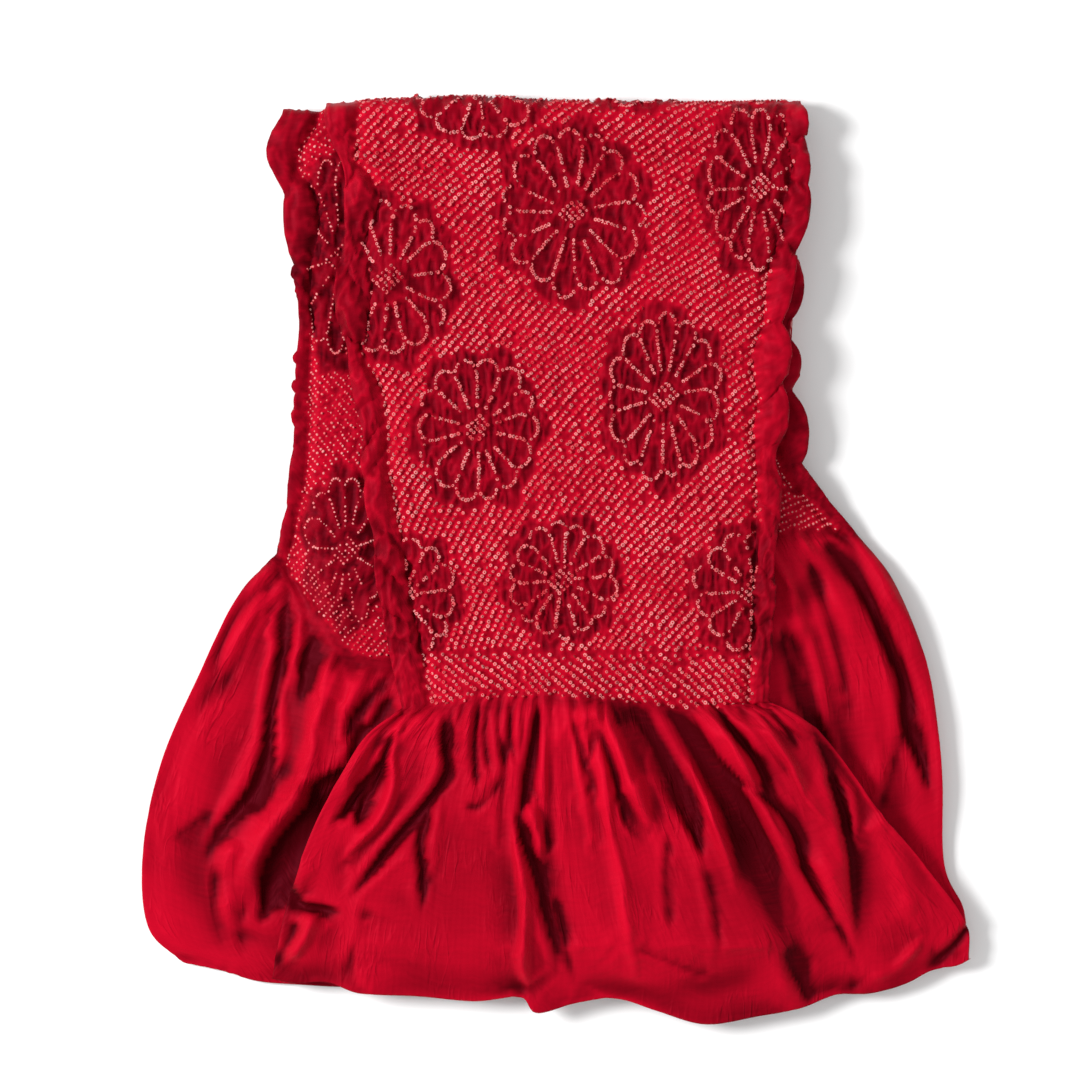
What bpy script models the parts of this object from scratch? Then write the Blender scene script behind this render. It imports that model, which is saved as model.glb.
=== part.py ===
# Shibori obiage, lying folded with both plain tails spread at the foot.
# One length of silk. It runs up from the front tail, over the outer fold, down behind,
# round the foot fold, up again, over the inner fold and down to the back tail.
# Frame: +X to the right, +Y towards the top folds, +Z up from the surface it lies on.
# The origin is at the middle of the cloth's box, on that surface. Tables are in millimetres.

import math
from collections import namedtuple

import bmesh
import bpy
import numpy as np
from mathutils.bvhtree import BVHTree

MM = 0.001

# Driving sizes
TIED_THICKNESS = 2.4
PLAIN_THICKNESS = 1.2
LAYER_PITCH = 4.0
LAYER_GAP = LAYER_PITCH - TIED_THICKNESS
TAIL_GAP = 1.3
FOOT_FOLD_Y = -137.5

# Heights of the middle of each lying layer, from the surface up
UNDER_Z = TIED_THICKNESS / 2
INNER_Z = UNDER_Z + LAYER_PITCH
STACK_TOP = INNER_Z + TIED_THICKNESS / 2
OUTER_FOLD_RADIUS = 1.5 * LAYER_PITCH
INNER_FOLD_RADIUS = 0.5 * LAYER_PITCH

# Mesh steps of the sheet before it is thinned out to the triangles that a solid may have
COLUMNS = 64
FOLD_STEPS = 7
TRIANGLES = 11200

# Each station is a line across the cloth, from its left selvedge to its right one,
# through points evenly shared out along its width. steps is the mesh rows up to the next one.
Station = namedtuple("Station", "place steps points")

FRONT_PANEL = (
    Station("outer fold", 6, ((-87, 169.8), (-42, 171.8), (1, 170.6), (46, 169.8), (91.4, 170.6))),
    Station("shoulder", 6, ((-79.7, 134.4), (5.4, 134.4), (93.4, 134.4))),
    Station("upper flowers", 6, ((-82.3, 96.9), (3.9, 96.9), (88.5, 96.9))),
    Station("waist", 6, ((-76, 59.4), (5.4, 59.4), (88, 59.4))),
    Station("lower flowers", 6, ((-71.4, 21.9), (6.2, 21.9), (83.4, 21.9))),
    Station("last flowers", 7, ((-66.2, -17.4), (6.9, -15.6), (80.8, -15.6))),
    Station("gather", 0, ((-58.5, -55.5), (-18, -49), (12, -49.5), (45, -53), (79, -53.2))),
)
FRONT_TAIL = (
    Station("gather", 6, FRONT_PANEL[-1].points),
    Station("below gather", 7, ((-69.5, -69), (7.5, -75.5), (95.4, -61.5))),
    Station("half way", 7, ((-82.3, -92.4), (10.3, -103.5), (116.4, -89))),
    Station("spread", 6, ((-93.5, -116), (16, -131.5), (136.7, -113.8))),
    Station("above hem", 5, ((-96.5, -134), (21.5, -152), (150.2, -132))),
    Station(
        "hem",
        0,
        (
            (-86, -152),
            (-62, -165.5),
            (-34, -168),
            (-9, -171.5),
            (23, -164.5),
            (53, -174),
            (80, -173),
            (118, -162),
            (155, -149.5),
        ),
    ),
)
BACK_PANEL = (
    Station("inner fold", 3, ((-106.4, 167.4), (-57, 166.6), (-8.4, 167), (40, 166.2), (88.8, 166.2))),
    Station("lobe", 4, ((-107.4, 151), (-8.4, 152), (88.8, 152))),
    Station("shoulder", 6, ((-101.8, 133), (-5.2, 133), (89.4, 133))),
    Station("upper flowers", 6, ((-98.1, 96.9), (-4, 96.9), (91, 96.9))),
    Station("waist", 5, ((-98.6, 59.4), (-3, 59.4), (91, 61.3))),
    Station("lower flowers", 5, ((-100.2, 29.4), (-60, 10), (-2.8, 4), (60, 26), (91.6, 36.2))),
    Station("gather", 0, ((-105.6, 2.5), (-76, -37), (-4, -36), (66, 8), (111, 11.5))),
)
BACK_TAIL = (
    Station("gather", 5, BACK_PANEL[-1].points),
    Station("below gather", 6, ((-119.5, -12), (-78, -56), (2, -58), (84, -18), (127.5, -9))),
    Station("shoulder", 6, ((-133.4, -40), (-75, -80), (2, -84), (80, -60), (140, -42.5))),
    Station("half way", 6, ((-149, -75.5), (-70, -105), (5, -112), (80, -95), (144.8, -79.5))),
    Station("spread", 5, ((-156.3, -109.5), (-72, -130), (8, -137), (82, -128), (146, -114))),
    Station("above hem", 5, ((-154.5, -133.5), (-77, -148), (5, -151), (82, -147), (153, -130))),
    Station(
        "hem",
        0,
        ((-141, -151.5), (-98, -162), (-66, -165), (0, -161), (60, -158), (110, -154), (154.4, -141)),
    ),
)
# The two lengths that lie hidden between the front and the back, from a top fold to the foot fold
UNDER_LAYER = (
    Station("outer fold", 10, FRONT_PANEL[0].points),
    Station("foot fold", 0, ((-68, FOOT_FOLD_Y), (6, FOOT_FOLD_Y), (78, FOOT_FOLD_Y))),
)
INNER_LAYER = (
    Station("inner fold", 10, BACK_PANEL[0].points),
    Station("foot fold", 0, UNDER_LAYER[-1].points),
)

# Each crease of a tail runs on a curve from start to end, pulled towards bend.
# reach is how wide it spreads from its line, and rise is its height, or depth below 0.
Crease = namedtuple("Crease", "start bend end reach rise")

FRONT_TAIL_LOFT = 3.6
FRONT_CREASES = (
    Crease((-58, -60), (-76, -90), (-95, -124), 6, 2.6),
    Crease((-63, -66), (-74, -84), (-86, -112), 3.2, -3.2),
    Crease((-50, -60), (-62, -82), (-84, -122), 4.5, 2.6),
    Crease((-60, -76), (-67, -86), (-75, -100), 3.4, -3.6),
    Crease((-40, -62), (-38, -90), (-78, -127), 3.4, -4),
    Crease((-30, -60), (-40, -95), (-62, -150), 7, 2.4),
    Crease((-48, -90), (-49, -110), (-51, -133), 2.8, -2.2),
    Crease((-21, -58), (-34, -90), (-34, -128), 6, 2.2),
    Crease((-10, -57), (-22, -92), (-2, -153), 4.4, -5.2),
    Crease((-19, -100), (-10, -128), (-7.5, -172), 4.6, 5.4),
    Crease((2, -57), (-6, -90), (14, -150), 5.5, 3.4),
    Crease((8, -58), (4, -80), (8, -108), 3, -2.6),
    Crease((14, -56), (18, -100), (36, -172), 9, 2.4),
    Crease((27, -55), (42, -80), (51, -102), 3.4, -4.2),
    Crease((33, -55), (56, -96), (74, -150), 5.2, 3.8),
    Crease((39, -54), (72, -98), (96, -164), 4.8, -6),
    Crease((46, -54), (84, -102), (109, -164), 6, 4.6),
    Crease((66, -80), (90, -96), (114, -162), 3.2, -3.2),
    Crease((60, -56), (100, -86), (134, -152), 8, 3.6),
    Crease((72, -56), (84, -68), (98, -96), 3, -2.4),
    Crease((20, -138), (46, -152), (74, -150), 5, -2.2),
)
BACK_TAIL_LOFT = 3.2
BACK_CREASES = (
    Crease((-108, -2), (-128, -50), (-142, -114), 11, 4.2),
    Crease((-93, -6), (-103, -40), (-120, -98), 4, -4.4),
    Crease((-97, -14), (-104, -50), (-113, -78), 4.4, 3),
    Crease((-88, -18), (-92, -46), (-102, -72), 5.5, -4.6),
    Crease((-96, -74), (-110, -102), (-118, -138), 6, 3.8),
    Crease((-88, -88), (-102, -110), (-114, -142), 5.5, -5),
    Crease((-116, -90), (-124, -108), (-147, -106), 3.6, -3),
    Crease((-126, -118), (-128, -128), (-124, -150), 4, 2.4),
    Crease((-86, -136), (-90, -148), (-98, -160), 5, 3),
    Crease((88, 15), (114, -14), (128, -56), 5.6, 4.8),
    Crease((91, 10), (121, -22), (139, -80), 4.6, -5.6),
    Crease((104, 12), (136, -30), (143, -114), 6, 3.6),
    Crease((85, -14), (84, -34), (86, -56), 6, -3.2),
    Crease((130, -54), (126, -76), (120, -97), 3.4, -3),
    Crease((112, -60), (112, -90), (130, -118), 7, 2.6),
)
CREASE_LEGS = 13
CREASE_STARTS = 0.22
CREASE_ENDS = 0.8
LOFT_REACH = 30
CREASE_REACH = 12
HEM_STARTS = 0.86
HEM_FLATTENS = 0.55
ROUNDING = 2.2

# Small pleats where the tied cloth ends, a little uneven across the width
GATHERS = 18
GATHER_HEIGHT = 1.5
GATHER_REACH = 26
GATHER_SHIFT = 0.012
GATHER_SHIFT_WAVES = 11

# How far past the last dots the cloth is still as thick as the tied length
TIED_END = 10

# The untied margins along the selvedges frill up, because the tied cloth between them shrinks
MARGIN = 13
FRILL_RISE = 3.4
FRILL_LENGTH = 19
FRILL_SWAY = 1.9
FRILL_SHIFT = 1.5
FRILL_SHIFT_LENGTH = 23

# The tied length lies a little uneven: slow hollows, and a fainter ripple across them
HOLLOW = 0.45
HOLLOW_WIDTH = 15
HOLLOW_LENGTH = 19
HOLLOW_BEND = 27
RIPPLE = 0.25
RIPPLE_LENGTH = 9
RIPPLE_SLANT = 1.4

# Laying a length on the ones below it: where it feels for them, and how far it bridges hollows
DRAPE_PASSES = 26
FEELERS = 8
FEEL_AROUND = 3.2
FEEL_FROM = 500
BARE_FLOOR = 0.5
FULL_GAP = 3
LEVEL_ROWS = 5

SILK_RED = (0.52, 0.004, 0.026, 1)


def clear_scene():
    for obj in list(bpy.data.objects):
        bpy.data.objects.remove(obj)


def smooth_step(value, low, high):
    share = np.clip((value - low) / (high - low), 0, 1)
    return share * share * (3 - 2 * share)


def spline(points, at):
    """Points of a smooth curve through points, at shares from 0 to 1 of its run."""
    points = np.array(points, float)
    ends = np.vstack([2 * points[0] - points[1], points, 2 * points[-1] - points[-2]])
    place = np.clip(np.asarray(at, float) * (len(points) - 1), 0, len(points) - 1 - 1e-9)
    first = place.astype(int)
    t = (place - first)[:, None]
    a, b, c, d = (ends[first + k] for k in range(4))
    return 0.5 * (2 * b + (c - a) * t + (2 * a - 5 * b + 4 * c - d) * t**2 + (3 * b - a - 3 * c + d) * t**3)


def laid_out(stations):
    """The layer seen from above: the (x, y) of every row and column, and each row's share of the run."""
    across = np.linspace(0, 1, COLUMNS + 1)
    lines = np.stack([spline(s.points, across) for s in stations])
    counts = [s.steps for s in stations[:-1]]
    places = np.concatenate([i + np.arange(n) / n for i, n in enumerate(counts)] + [[len(counts)]])
    shares = places / len(counts)
    flat = spline(lines.reshape(len(stations), -1), shares)
    return flat.reshape(len(shares), COLUMNS + 1, 2), shares


def below_fold(stations, radius):
    """The stations with the first one drawn back to where its fold starts to turn."""
    first = stations[0]
    drawn = tuple((x, y - radius) for x, y in first.points)
    return (first._replace(points=drawn),) + stations[1:]


def run_from(line, plan):
    """How far each row lies from a line across the cloth, measured along each column."""
    lengths = np.linalg.norm(np.diff(plan, axis=0, prepend=line[None]), axis=2)
    return np.cumsum(lengths, axis=0)


def frill(plan):
    """How far the margins rise, and how far they sway sideways, along the left and right selvedges."""
    along = run_from(plan[0], plan)
    rise = np.zeros(plan.shape[:2])
    sway = np.zeros(plan.shape[:2])
    for edge, outward in ((0, -1), (COLUMNS, 1)):
        inside = np.linalg.norm(plan - plan[:, edge : edge + 1], axis=2)
        near = 1 - smooth_step(inside, 0, MARGIN)
        run = along[:, edge : edge + 1] + outward * FRILL_LENGTH / 4
        turn = 2 * math.pi * run / FRILL_LENGTH + FRILL_SHIFT * np.sin(run / FRILL_SHIFT_LENGTH + outward)
        rise += near * FRILL_RISE * (0.5 + 0.5 * np.sin(turn))
        sway += near * FRILL_SWAY * outward * np.sin(turn + math.pi / 3)
    return rise, sway


def unevenness(plan):
    """The slow rise and fall of tied cloth that doesn't lie quite flat."""
    x, y = plan[..., 0], plan[..., 1]
    hollows = np.sin(x / HOLLOW_WIDTH + np.sin(y / HOLLOW_BEND)) * np.cos(y / HOLLOW_LENGTH)
    ripple = np.sin((x + RIPPLE_SLANT * y) / RIPPLE_LENGTH)
    return (HOLLOW + RIPPLE) + HOLLOW * hollows + RIPPLE * ripple


def curve_points(crease):
    t = np.linspace(0, 1, CREASE_LEGS + 1)[:, None]
    start, bend, end = (np.array(p, float) for p in (crease.start, crease.bend, crease.end))
    return (1 - t) ** 2 * start + 2 * t * (1 - t) * bend + t**2 * end, t[:, 0]


def crease_height(plan, crease):
    """The rise of one crease: a rounded ridge or trough along its curve, fading at both ends."""
    line, shares = curve_points(crease)
    flat = plan.reshape(-1, 1, 2)
    leg = np.diff(line, axis=0)
    away = flat - line[:-1]
    share = np.clip((away * leg).sum(2) / (leg**2).sum(1), 0, 1)
    distance = np.linalg.norm(away - share[..., None] * leg, axis=2)
    nearest = distance.argmin(axis=1)
    picked = np.arange(len(flat))
    along = shares[nearest] + share[picked, nearest] * np.diff(shares)[nearest]
    fade = smooth_step(along, 0, CREASE_STARTS) * (1 - smooth_step(along, CREASE_ENDS, 1))
    height = crease.rise * np.exp(-((distance[picked, nearest] / crease.reach) ** 2)) * fade
    return height.reshape(plan.shape[:2])


def gathers(plan):
    """Small pleats that start where the tied cloth ends, and die out down the tail."""
    run = run_from(plan[0], plan)
    across = np.linspace(0, 1, COLUMNS + 1)[None]
    turn = 2 * math.pi * GATHERS * (across + GATHER_SHIFT * np.sin(GATHER_SHIFT_WAVES * across))
    fade = smooth_step(run, 0, CREASE_REACH / 3) * (1 - smooth_step(run, GATHER_REACH / 3, GATHER_REACH))
    return GATHER_HEIGHT * fade * (0.5 + 0.5 * np.sin(turn))


def tail_relief(plan, shares, creases, loft):
    """What the folds of a tail add to the height at which it is draped, never under 0."""
    run = run_from(plan[0], plan)
    near_hem = 1 - HEM_FLATTENS * smooth_step(shares, HEM_STARTS, 1)[:, None]
    folds = sum(crease_height(plan, crease) for crease in creases)
    swell = loft * smooth_step(run, 0, LOFT_REACH)
    relief = (swell + folds * smooth_step(run, 0, CREASE_REACH)) * near_hem + gathers(plan)
    never_under = np.log1p(np.exp(ROUNDING * relief)) / ROUNDING
    return never_under * smooth_step(run, -CREASE_REACH / 3, CREASE_REACH / 2)


def half_thickness(tied):
    return (PLAIN_THICKNESS + (TIED_THICKNESS - PLAIN_THICKNESS) * tied) / 2


def smoothed(height):
    padded = np.pad(height, 1, mode="edge")
    around = padded[:-2, 1:-1] + padded[2:, 1:-1] + padded[1:-1, :-2] + padded[1:-1, 2:]
    return 0.5 * height + around / 8


def draped(least):
    """The height of cloth that rests on least, bridging hollows as it sags between high places."""
    height = least.copy()
    for _ in range(DRAPE_PASSES):
        height = np.maximum(smoothed(height), least)
    return height


def tree_of(points):
    """A search tree of a layer's top, to lay the next layer on."""
    rows, columns = points.shape[:2]
    number = np.arange(rows * columns).reshape(rows, columns)
    corners = (number[:-1, :-1], number[1:, :-1], number[1:, 1:], number[:-1, 1:])
    faces = np.stack(corners, axis=2).reshape(-1, 4)
    return BVHTree.FromPolygons(points.reshape(-1, 3).tolist(), faces.tolist())


def felt(trees, plan):
    """The highest point of the layers below, felt for a little way around each (x, y)."""
    turns = np.linspace(0, 2 * math.pi, FEELERS, endpoint=False)
    feelers = [(0, 0)] + [(FEEL_AROUND * math.cos(a), FEEL_AROUND * math.sin(a)) for a in turns]
    top = np.zeros(plan.shape[:2])
    for row, column in np.ndindex(top.shape):
        x, y = plan[row, column]
        for dx, dy in feelers:
            for tree in trees:
                hit = tree.ray_cast((x + dx, y + dy, FEEL_FROM), (0, 0, -1))[0]
                if hit is not None:
                    top[row, column] = max(top[row, column], hit.z)
    return top


def with_height(plan, height):
    return np.concatenate([plan, height[..., None]], axis=2)


def turn_over(line, radius, centre_z, start, end):
    """The rows of a fold. The line across it swings from one layer to the next, start to end in degrees."""
    angles = np.radians(np.linspace(start, end, FOLD_STEPS + 1))[1:-1]
    rows = [line + np.array([0, radius * math.cos(a), 0]) for a in angles]
    for row, angle in zip(rows, angles):
        row[:, 2] = centre_z + radius * math.sin(angle)
    return np.stack(rows)


def lying(stations, radius, height):
    """A hidden layer, level from its top fold to the foot fold."""
    stations = below_fold(stations, radius)
    foot = tuple((x, y + INNER_FOLD_RADIUS) for x, y in stations[-1].points)
    stations = stations[:-1] + (stations[-1]._replace(points=foot),)
    plan, _ = laid_out(stations)
    return with_height(plan, np.full(plan.shape[:2], height))


def panel_and_tail(panel, tail, radius, creases, loft):
    """One visible end of the cloth: its plan, its folds' relief and how far it is tied, from fold to hem."""
    panel_plan, _ = laid_out(below_fold(panel, radius))
    tail_plan, shares = laid_out(tail)
    rise, sway = frill(panel_plan)
    last = len(rise) - 1
    fade = 1 - smooth_step(np.arange(len(rise)), last - LEVEL_ROWS, last)[:, None]
    panel_plan[..., 0] += sway * fade
    lift = rise * fade + unevenness(panel_plan)
    relief = np.vstack([lift, tail_relief(tail_plan, shares, creases, loft)[1:]])
    plan = np.concatenate([panel_plan, tail_plan[1:]])
    run = run_from(tail_plan[0], tail_plan)
    tied = np.vstack([np.ones(rise.shape), 1 - smooth_step(run, 0, TIED_END)[1:]])
    return plan, relief, tied


def lay_on(trees, plan, relief, tied, gap):
    """The middle of the cloth, laid with a gap on the layers below it."""
    top = felt(trees, plan)
    half = half_thickness(tied)
    clearance = gap * smooth_step(top, BARE_FLOOR, FULL_GAP)
    return with_height(plan, draped(top + clearance + half) + relief)


def flattened_start(points, height):
    """The first rows brought to the height of their fold, which turns on a level line."""
    settle = smooth_step(np.arange(len(points)), 0, LEVEL_ROWS)[:, None]
    points[..., 2] = height + (points[..., 2] - height) * settle
    return points


def sheet_rows():
    """Every row of the middle of the cloth, from the front hem to the back hem, and how far it is tied."""
    under = lying(UNDER_LAYER, OUTER_FOLD_RADIUS, UNDER_Z)
    inner = lying(INNER_LAYER, INNER_FOLD_RADIUS, INNER_Z)
    stack = tree_of(inner + np.array([0, 0, TIED_THICKNESS / 2]))

    plan, relief, back_tied = panel_and_tail(
        BACK_PANEL, BACK_TAIL, INNER_FOLD_RADIUS, BACK_CREASES, BACK_TAIL_LOFT
    )
    back = lay_on([stack], plan, relief, back_tied, LAYER_GAP)
    back = flattened_start(back, INNER_Z + 2 * INNER_FOLD_RADIUS)
    back_top = tree_of(back + np.array([0, 0, 1]) * half_thickness(back_tied)[..., None])

    plan, relief, front_tied = panel_and_tail(
        FRONT_PANEL, FRONT_TAIL, OUTER_FOLD_RADIUS, FRONT_CREASES, FRONT_TAIL_LOFT
    )
    gap = LAYER_GAP + (TAIL_GAP - LAYER_GAP) * (1 - front_tied)
    front = lay_on([stack, back_top], plan, relief, front_tied, gap)
    front = flattened_start(front, UNDER_Z + 2 * OUTER_FOLD_RADIUS)

    outer_fold = turn_over(front[0], OUTER_FOLD_RADIUS, UNDER_Z + OUTER_FOLD_RADIUS, 90, -90)
    foot_fold = turn_over(under[-1], INNER_FOLD_RADIUS, UNDER_Z + INNER_FOLD_RADIUS, -90, -270)
    inner_fold = turn_over(inner[0], INNER_FOLD_RADIUS, INNER_Z + INNER_FOLD_RADIUS, -90, 90)
    parts = (front[::-1], outer_fold, under, foot_fold, inner[::-1], inner_fold, back)
    tied = (
        front_tied[::-1],
        *(np.ones(part.shape[:2]) for part in parts[1:-1]),
        back_tied,
    )
    return np.concatenate(parts), np.concatenate(tied)


def centred(points):
    """The cloth with the middle of its box over the origin. Its top fold bulges out past its middle line."""
    low = points.min(axis=(0, 1))
    high = points.max(axis=(0, 1)) + np.array([0, TIED_THICKNESS / 2, 0])
    middle = (low + high) / 2
    return points - np.array([middle[0], middle[1], 0])


def silk_material():
    material = bpy.data.materials.new("red silk")
    material.use_nodes = True
    shader = material.node_tree.nodes["Principled BSDF"]
    shader.inputs["Base Color"].default_value = SILK_RED
    shader.inputs["Roughness"].default_value = 0.55
    shader.inputs["Metallic"].default_value = 0.0
    return material


def build_obiage():
    points, tied = sheet_rows()
    points = centred(points) * MM
    rows, columns = points.shape[:2]
    sheet = bmesh.new()
    grid = [[sheet.verts.new(points[r, c]) for c in range(columns)] for r in range(rows)]
    for r in range(rows - 1):
        for c in range(columns - 1):
            sheet.faces.new((grid[r][c], grid[r][c + 1], grid[r + 1][c + 1], grid[r + 1][c]))
    mesh = bpy.data.meshes.new("obiage")
    sheet.to_mesh(mesh)
    sheet.free()
    mesh.shade_smooth()
    mesh.materials.append(silk_material())
    cloth = bpy.data.objects.new("obiage", mesh)
    bpy.context.scene.collection.objects.link(cloth)

    tied_group = cloth.vertex_groups.new(name="tied")
    for number, weight in enumerate(tied.ravel()):
        tied_group.add([number], float(weight), "REPLACE")
    thickness = cloth.modifiers.new("thickness", "SOLIDIFY")
    thickness.thickness = TIED_THICKNESS * MM
    thickness.offset = 0
    thickness.vertex_group = tied_group.name
    thickness.thickness_vertex_group = PLAIN_THICKNESS / TIED_THICKNESS
    thinning = cloth.modifiers.new("fewer faces", "DECIMATE")
    thinning.ratio = TRIANGLES / (4 * (rows - 1) * (columns - 1) + 4 * (rows + columns - 2))
    return cloth


clear_scene()
build_obiage()
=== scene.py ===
# Shibori obiage, lying folded with both plain tails spread at the foot.
# One length of crimson silk, in the pieces that a render needs: the hidden middle, the back end with its dots
# and the front end with its dots. Tables are in millimetres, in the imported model's own frame.
import math
from collections import namedtuple

import bpy
import numpy as np
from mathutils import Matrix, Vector, geometry, kdtree, noise
from mathutils.bvhtree import BVHTree


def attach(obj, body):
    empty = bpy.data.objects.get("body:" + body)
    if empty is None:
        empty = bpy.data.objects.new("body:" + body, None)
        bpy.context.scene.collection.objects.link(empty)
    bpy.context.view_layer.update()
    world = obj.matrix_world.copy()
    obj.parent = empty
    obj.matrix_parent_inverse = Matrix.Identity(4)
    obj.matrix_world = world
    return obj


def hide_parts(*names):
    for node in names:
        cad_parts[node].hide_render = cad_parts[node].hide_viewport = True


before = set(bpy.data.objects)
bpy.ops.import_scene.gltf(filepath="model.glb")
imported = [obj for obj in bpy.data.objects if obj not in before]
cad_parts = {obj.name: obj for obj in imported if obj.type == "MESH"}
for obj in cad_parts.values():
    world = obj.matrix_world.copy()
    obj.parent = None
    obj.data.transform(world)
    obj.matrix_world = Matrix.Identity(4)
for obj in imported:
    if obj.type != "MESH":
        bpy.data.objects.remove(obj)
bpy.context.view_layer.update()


# The hidden lengths. The middle of the cloth runs down behind the front length, turns at the foot and comes
# up to the inner fold. It is the same tied silk, puckered all over, and little more than its selvedges shows,
# so its dots are dyed into the material and not tied one by one.

MM = 0.001
CLOTH_WIDTH = 310
TIED_THICKNESS = 2.4
PLAIN_THICKNESS = 1.2
LAYER_PITCH = 4.0
LAYER_GAP = LAYER_PITCH - TIED_THICKNESS
UNDER_Z = TIED_THICKNESS / 2
INNER_Z = UNDER_Z + LAYER_PITCH
OUTER_FOLD_RADIUS = 1.5 * LAYER_PITCH
INNER_FOLD_RADIUS = 0.5 * LAYER_PITCH
OUTER_FOLD = ((-87, 169.8), (-42, 171.8), (1, 170.6), (46, 169.8), (91.4, 170.6))
INNER_FOLD = ((-103.4, 167.4), (-57, 166.6), (-8.4, 167), (40, 166.2), (88.8, 166.2))
FOOT_FOLD = ((-68, -137.5), (6, -137.5), (78, -137.5))
HIDDEN_COLUMNS = 90
HIDDEN_ROWS = 120
HIDDEN_CLOTH = 1.3
BEHIND_OUTER_FOLD = 14
BEHIND_INNER_FOLD = 8
HIDDEN_FRILL = 0.9
FRILL_LENGTH = 19
FRILL_SHIFT = 1.5
FRILL_SHIFT_LENGTH = 23
MARGIN = 13
FOOT_ROWS = 9
FRILL_FREE = 30
# The silk's colour is mixed between a shaded crimson, painted into hollows and creases as shade, and a lit red,
# painted where the silk stands high as light
SHADED_CRIMSON = (0.05, 0.0001, 0.0014, 1)
LIT_RED = (0.62, 0.0022, 0.02, 1)
PALE_DOT = (0.87, 0.45, 0.43, 1)


def smooth_step(value, low, high):
    share = np.clip((value - low) / (high - low), 0, 1)
    return share * share * (3 - 2 * share)


def spline(points, at):
    """Points of a smooth curve through points, at shares from 0 to 1 of its run."""
    points = np.array(points, float)
    ends = np.vstack([2 * points[0] - points[1], points, 2 * points[-1] - points[-2]])
    place = np.clip(np.asarray(at, float) * (len(points) - 1), 0, len(points) - 1 - 1e-9)
    first = place.astype(int)
    t = (place - first)[:, None]
    a, b, c, d = (ends[first + k] for k in range(4))
    return 0.5 * (2 * b + (c - a) * t + (2 * a - 5 * b + 4 * c - d) * t**2 + (3 * b - a - 3 * c + d) * t**3)


def evenly(points, count):
    """A smooth curve through points, at count + 1 places that lie evenly along it."""
    fine = np.linspace(0, 1, 40 * len(points))
    curve = spline(points, fine)
    run = np.concatenate([[0], np.cumsum(np.linalg.norm(np.diff(curve, axis=0), axis=1))])
    return spline(points, np.interp(np.linspace(0, run[-1], count + 1), run, fine))


def line_across(points, columns, drawn=0.0):
    """A line across the cloth as (x, y) at each column, drawn back from its fold."""
    return evenly(points, columns) - np.array([0, drawn])


def between(first, last, shares):
    """Straight rows from one line across the cloth to another, at shares of the way."""
    return first + (last - first) * np.asarray(shares)[:, None, None]


def with_height(plan, height):
    height = np.broadcast_to(np.asarray(height, float), plan.shape[:-1])
    return np.concatenate([plan, height[..., None]], axis=-1)


def turn_over(line, radius, centre_z, angles):
    """The rows of a fold: the line swings over from one layer to the next, by angles in degrees."""
    rows = [
        with_height(line + (0, radius * math.cos(angle)), centre_z + radius * math.sin(angle))
        for angle in np.radians(angles)
    ]
    return np.stack(rows)


def run_along(points):
    """How far each row lies from the first one, measured along each column."""
    steps = np.linalg.norm(np.diff(points, axis=0, prepend=points[:1]), axis=2)
    return np.cumsum(steps, axis=0)


def cloth_grid(name, points, flat):
    """A sheet with its vertices at points, row by row, and the flat cloth's own measure as its UV map."""
    rows, columns = points.shape[:2]
    bpy.ops.object.select_all(action="DESELECT")
    bpy.ops.mesh.primitive_grid_add(
        x_subdivisions=columns - 1, y_subdivisions=rows - 1, size=1, location=(0, 0, 0)
    )
    piece = bpy.context.object
    piece.name = name
    mesh = piece.data
    mesh.name = name
    mesh.vertices.foreach_set("co", (points * MM).ravel())
    corners = np.empty(len(mesh.loops), int)
    mesh.loops.foreach_get("vertex_index", corners)
    mesh.uv_layers.active.data.foreach_set("uv", (flat.reshape(-1, 2) * MM)[corners].ravel())
    mesh.shade_smooth()
    mesh.update()
    return piece


def vertex_values(piece, name, values):
    """A number for each vertex, which the materials read by name."""
    attribute = piece.data.attributes.new(name, "FLOAT", "POINT")
    attribute.data.foreach_set("value", np.asarray(values, np.float32).ravel())


def node_group(name, inputs, outputs):
    """An empty shader group with named sockets, and its input and output nodes."""
    group = bpy.data.node_groups.new(name, "ShaderNodeTree")
    for title, value in inputs.items():
        kind = "NodeSocketColor" if isinstance(value, tuple) else "NodeSocketFloat"
        socket = group.interface.new_socket(title, in_out="INPUT", socket_type=kind)
        socket.default_value = value
    for title, kind in outputs.items():
        group.interface.new_socket(title, in_out="OUTPUT", socket_type=kind)
    start = group.nodes.new("NodeGroupInput")
    end = group.nodes.new("NodeGroupOutput")
    return group, start, end


def add_node(tree, kind, inputs=(), **settings):
    """A shader node with its settings, and its inputs linked from other nodes or set to values."""
    node = tree.nodes.new("ShaderNode" + kind)
    for name, value in settings.items():
        setattr(node, name, value)
    for name, value in dict(inputs).items():
        if isinstance(value, bpy.types.NodeSocket):
            tree.links.new(value, node.inputs[name])
        else:
            node.inputs[name].default_value = value
    return node


def add_math(tree, operation, first, second):
    return add_node(tree, "Math", {0: first, 1: second}, operation=operation).outputs[0]


def mixed(tree, share, first, second):
    """A colour that goes from first to second as share goes from 0 to 1."""
    inputs = {"Factor": share, "A": first, "B": second}
    return add_node(tree, "Mix", inputs, data_type="RGBA").outputs["Result"]


WAVE_SCALE = 50
THREAD_HEIGHT = 0.25
SLUBS_PER_METRE = (90, 700, 1)


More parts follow.
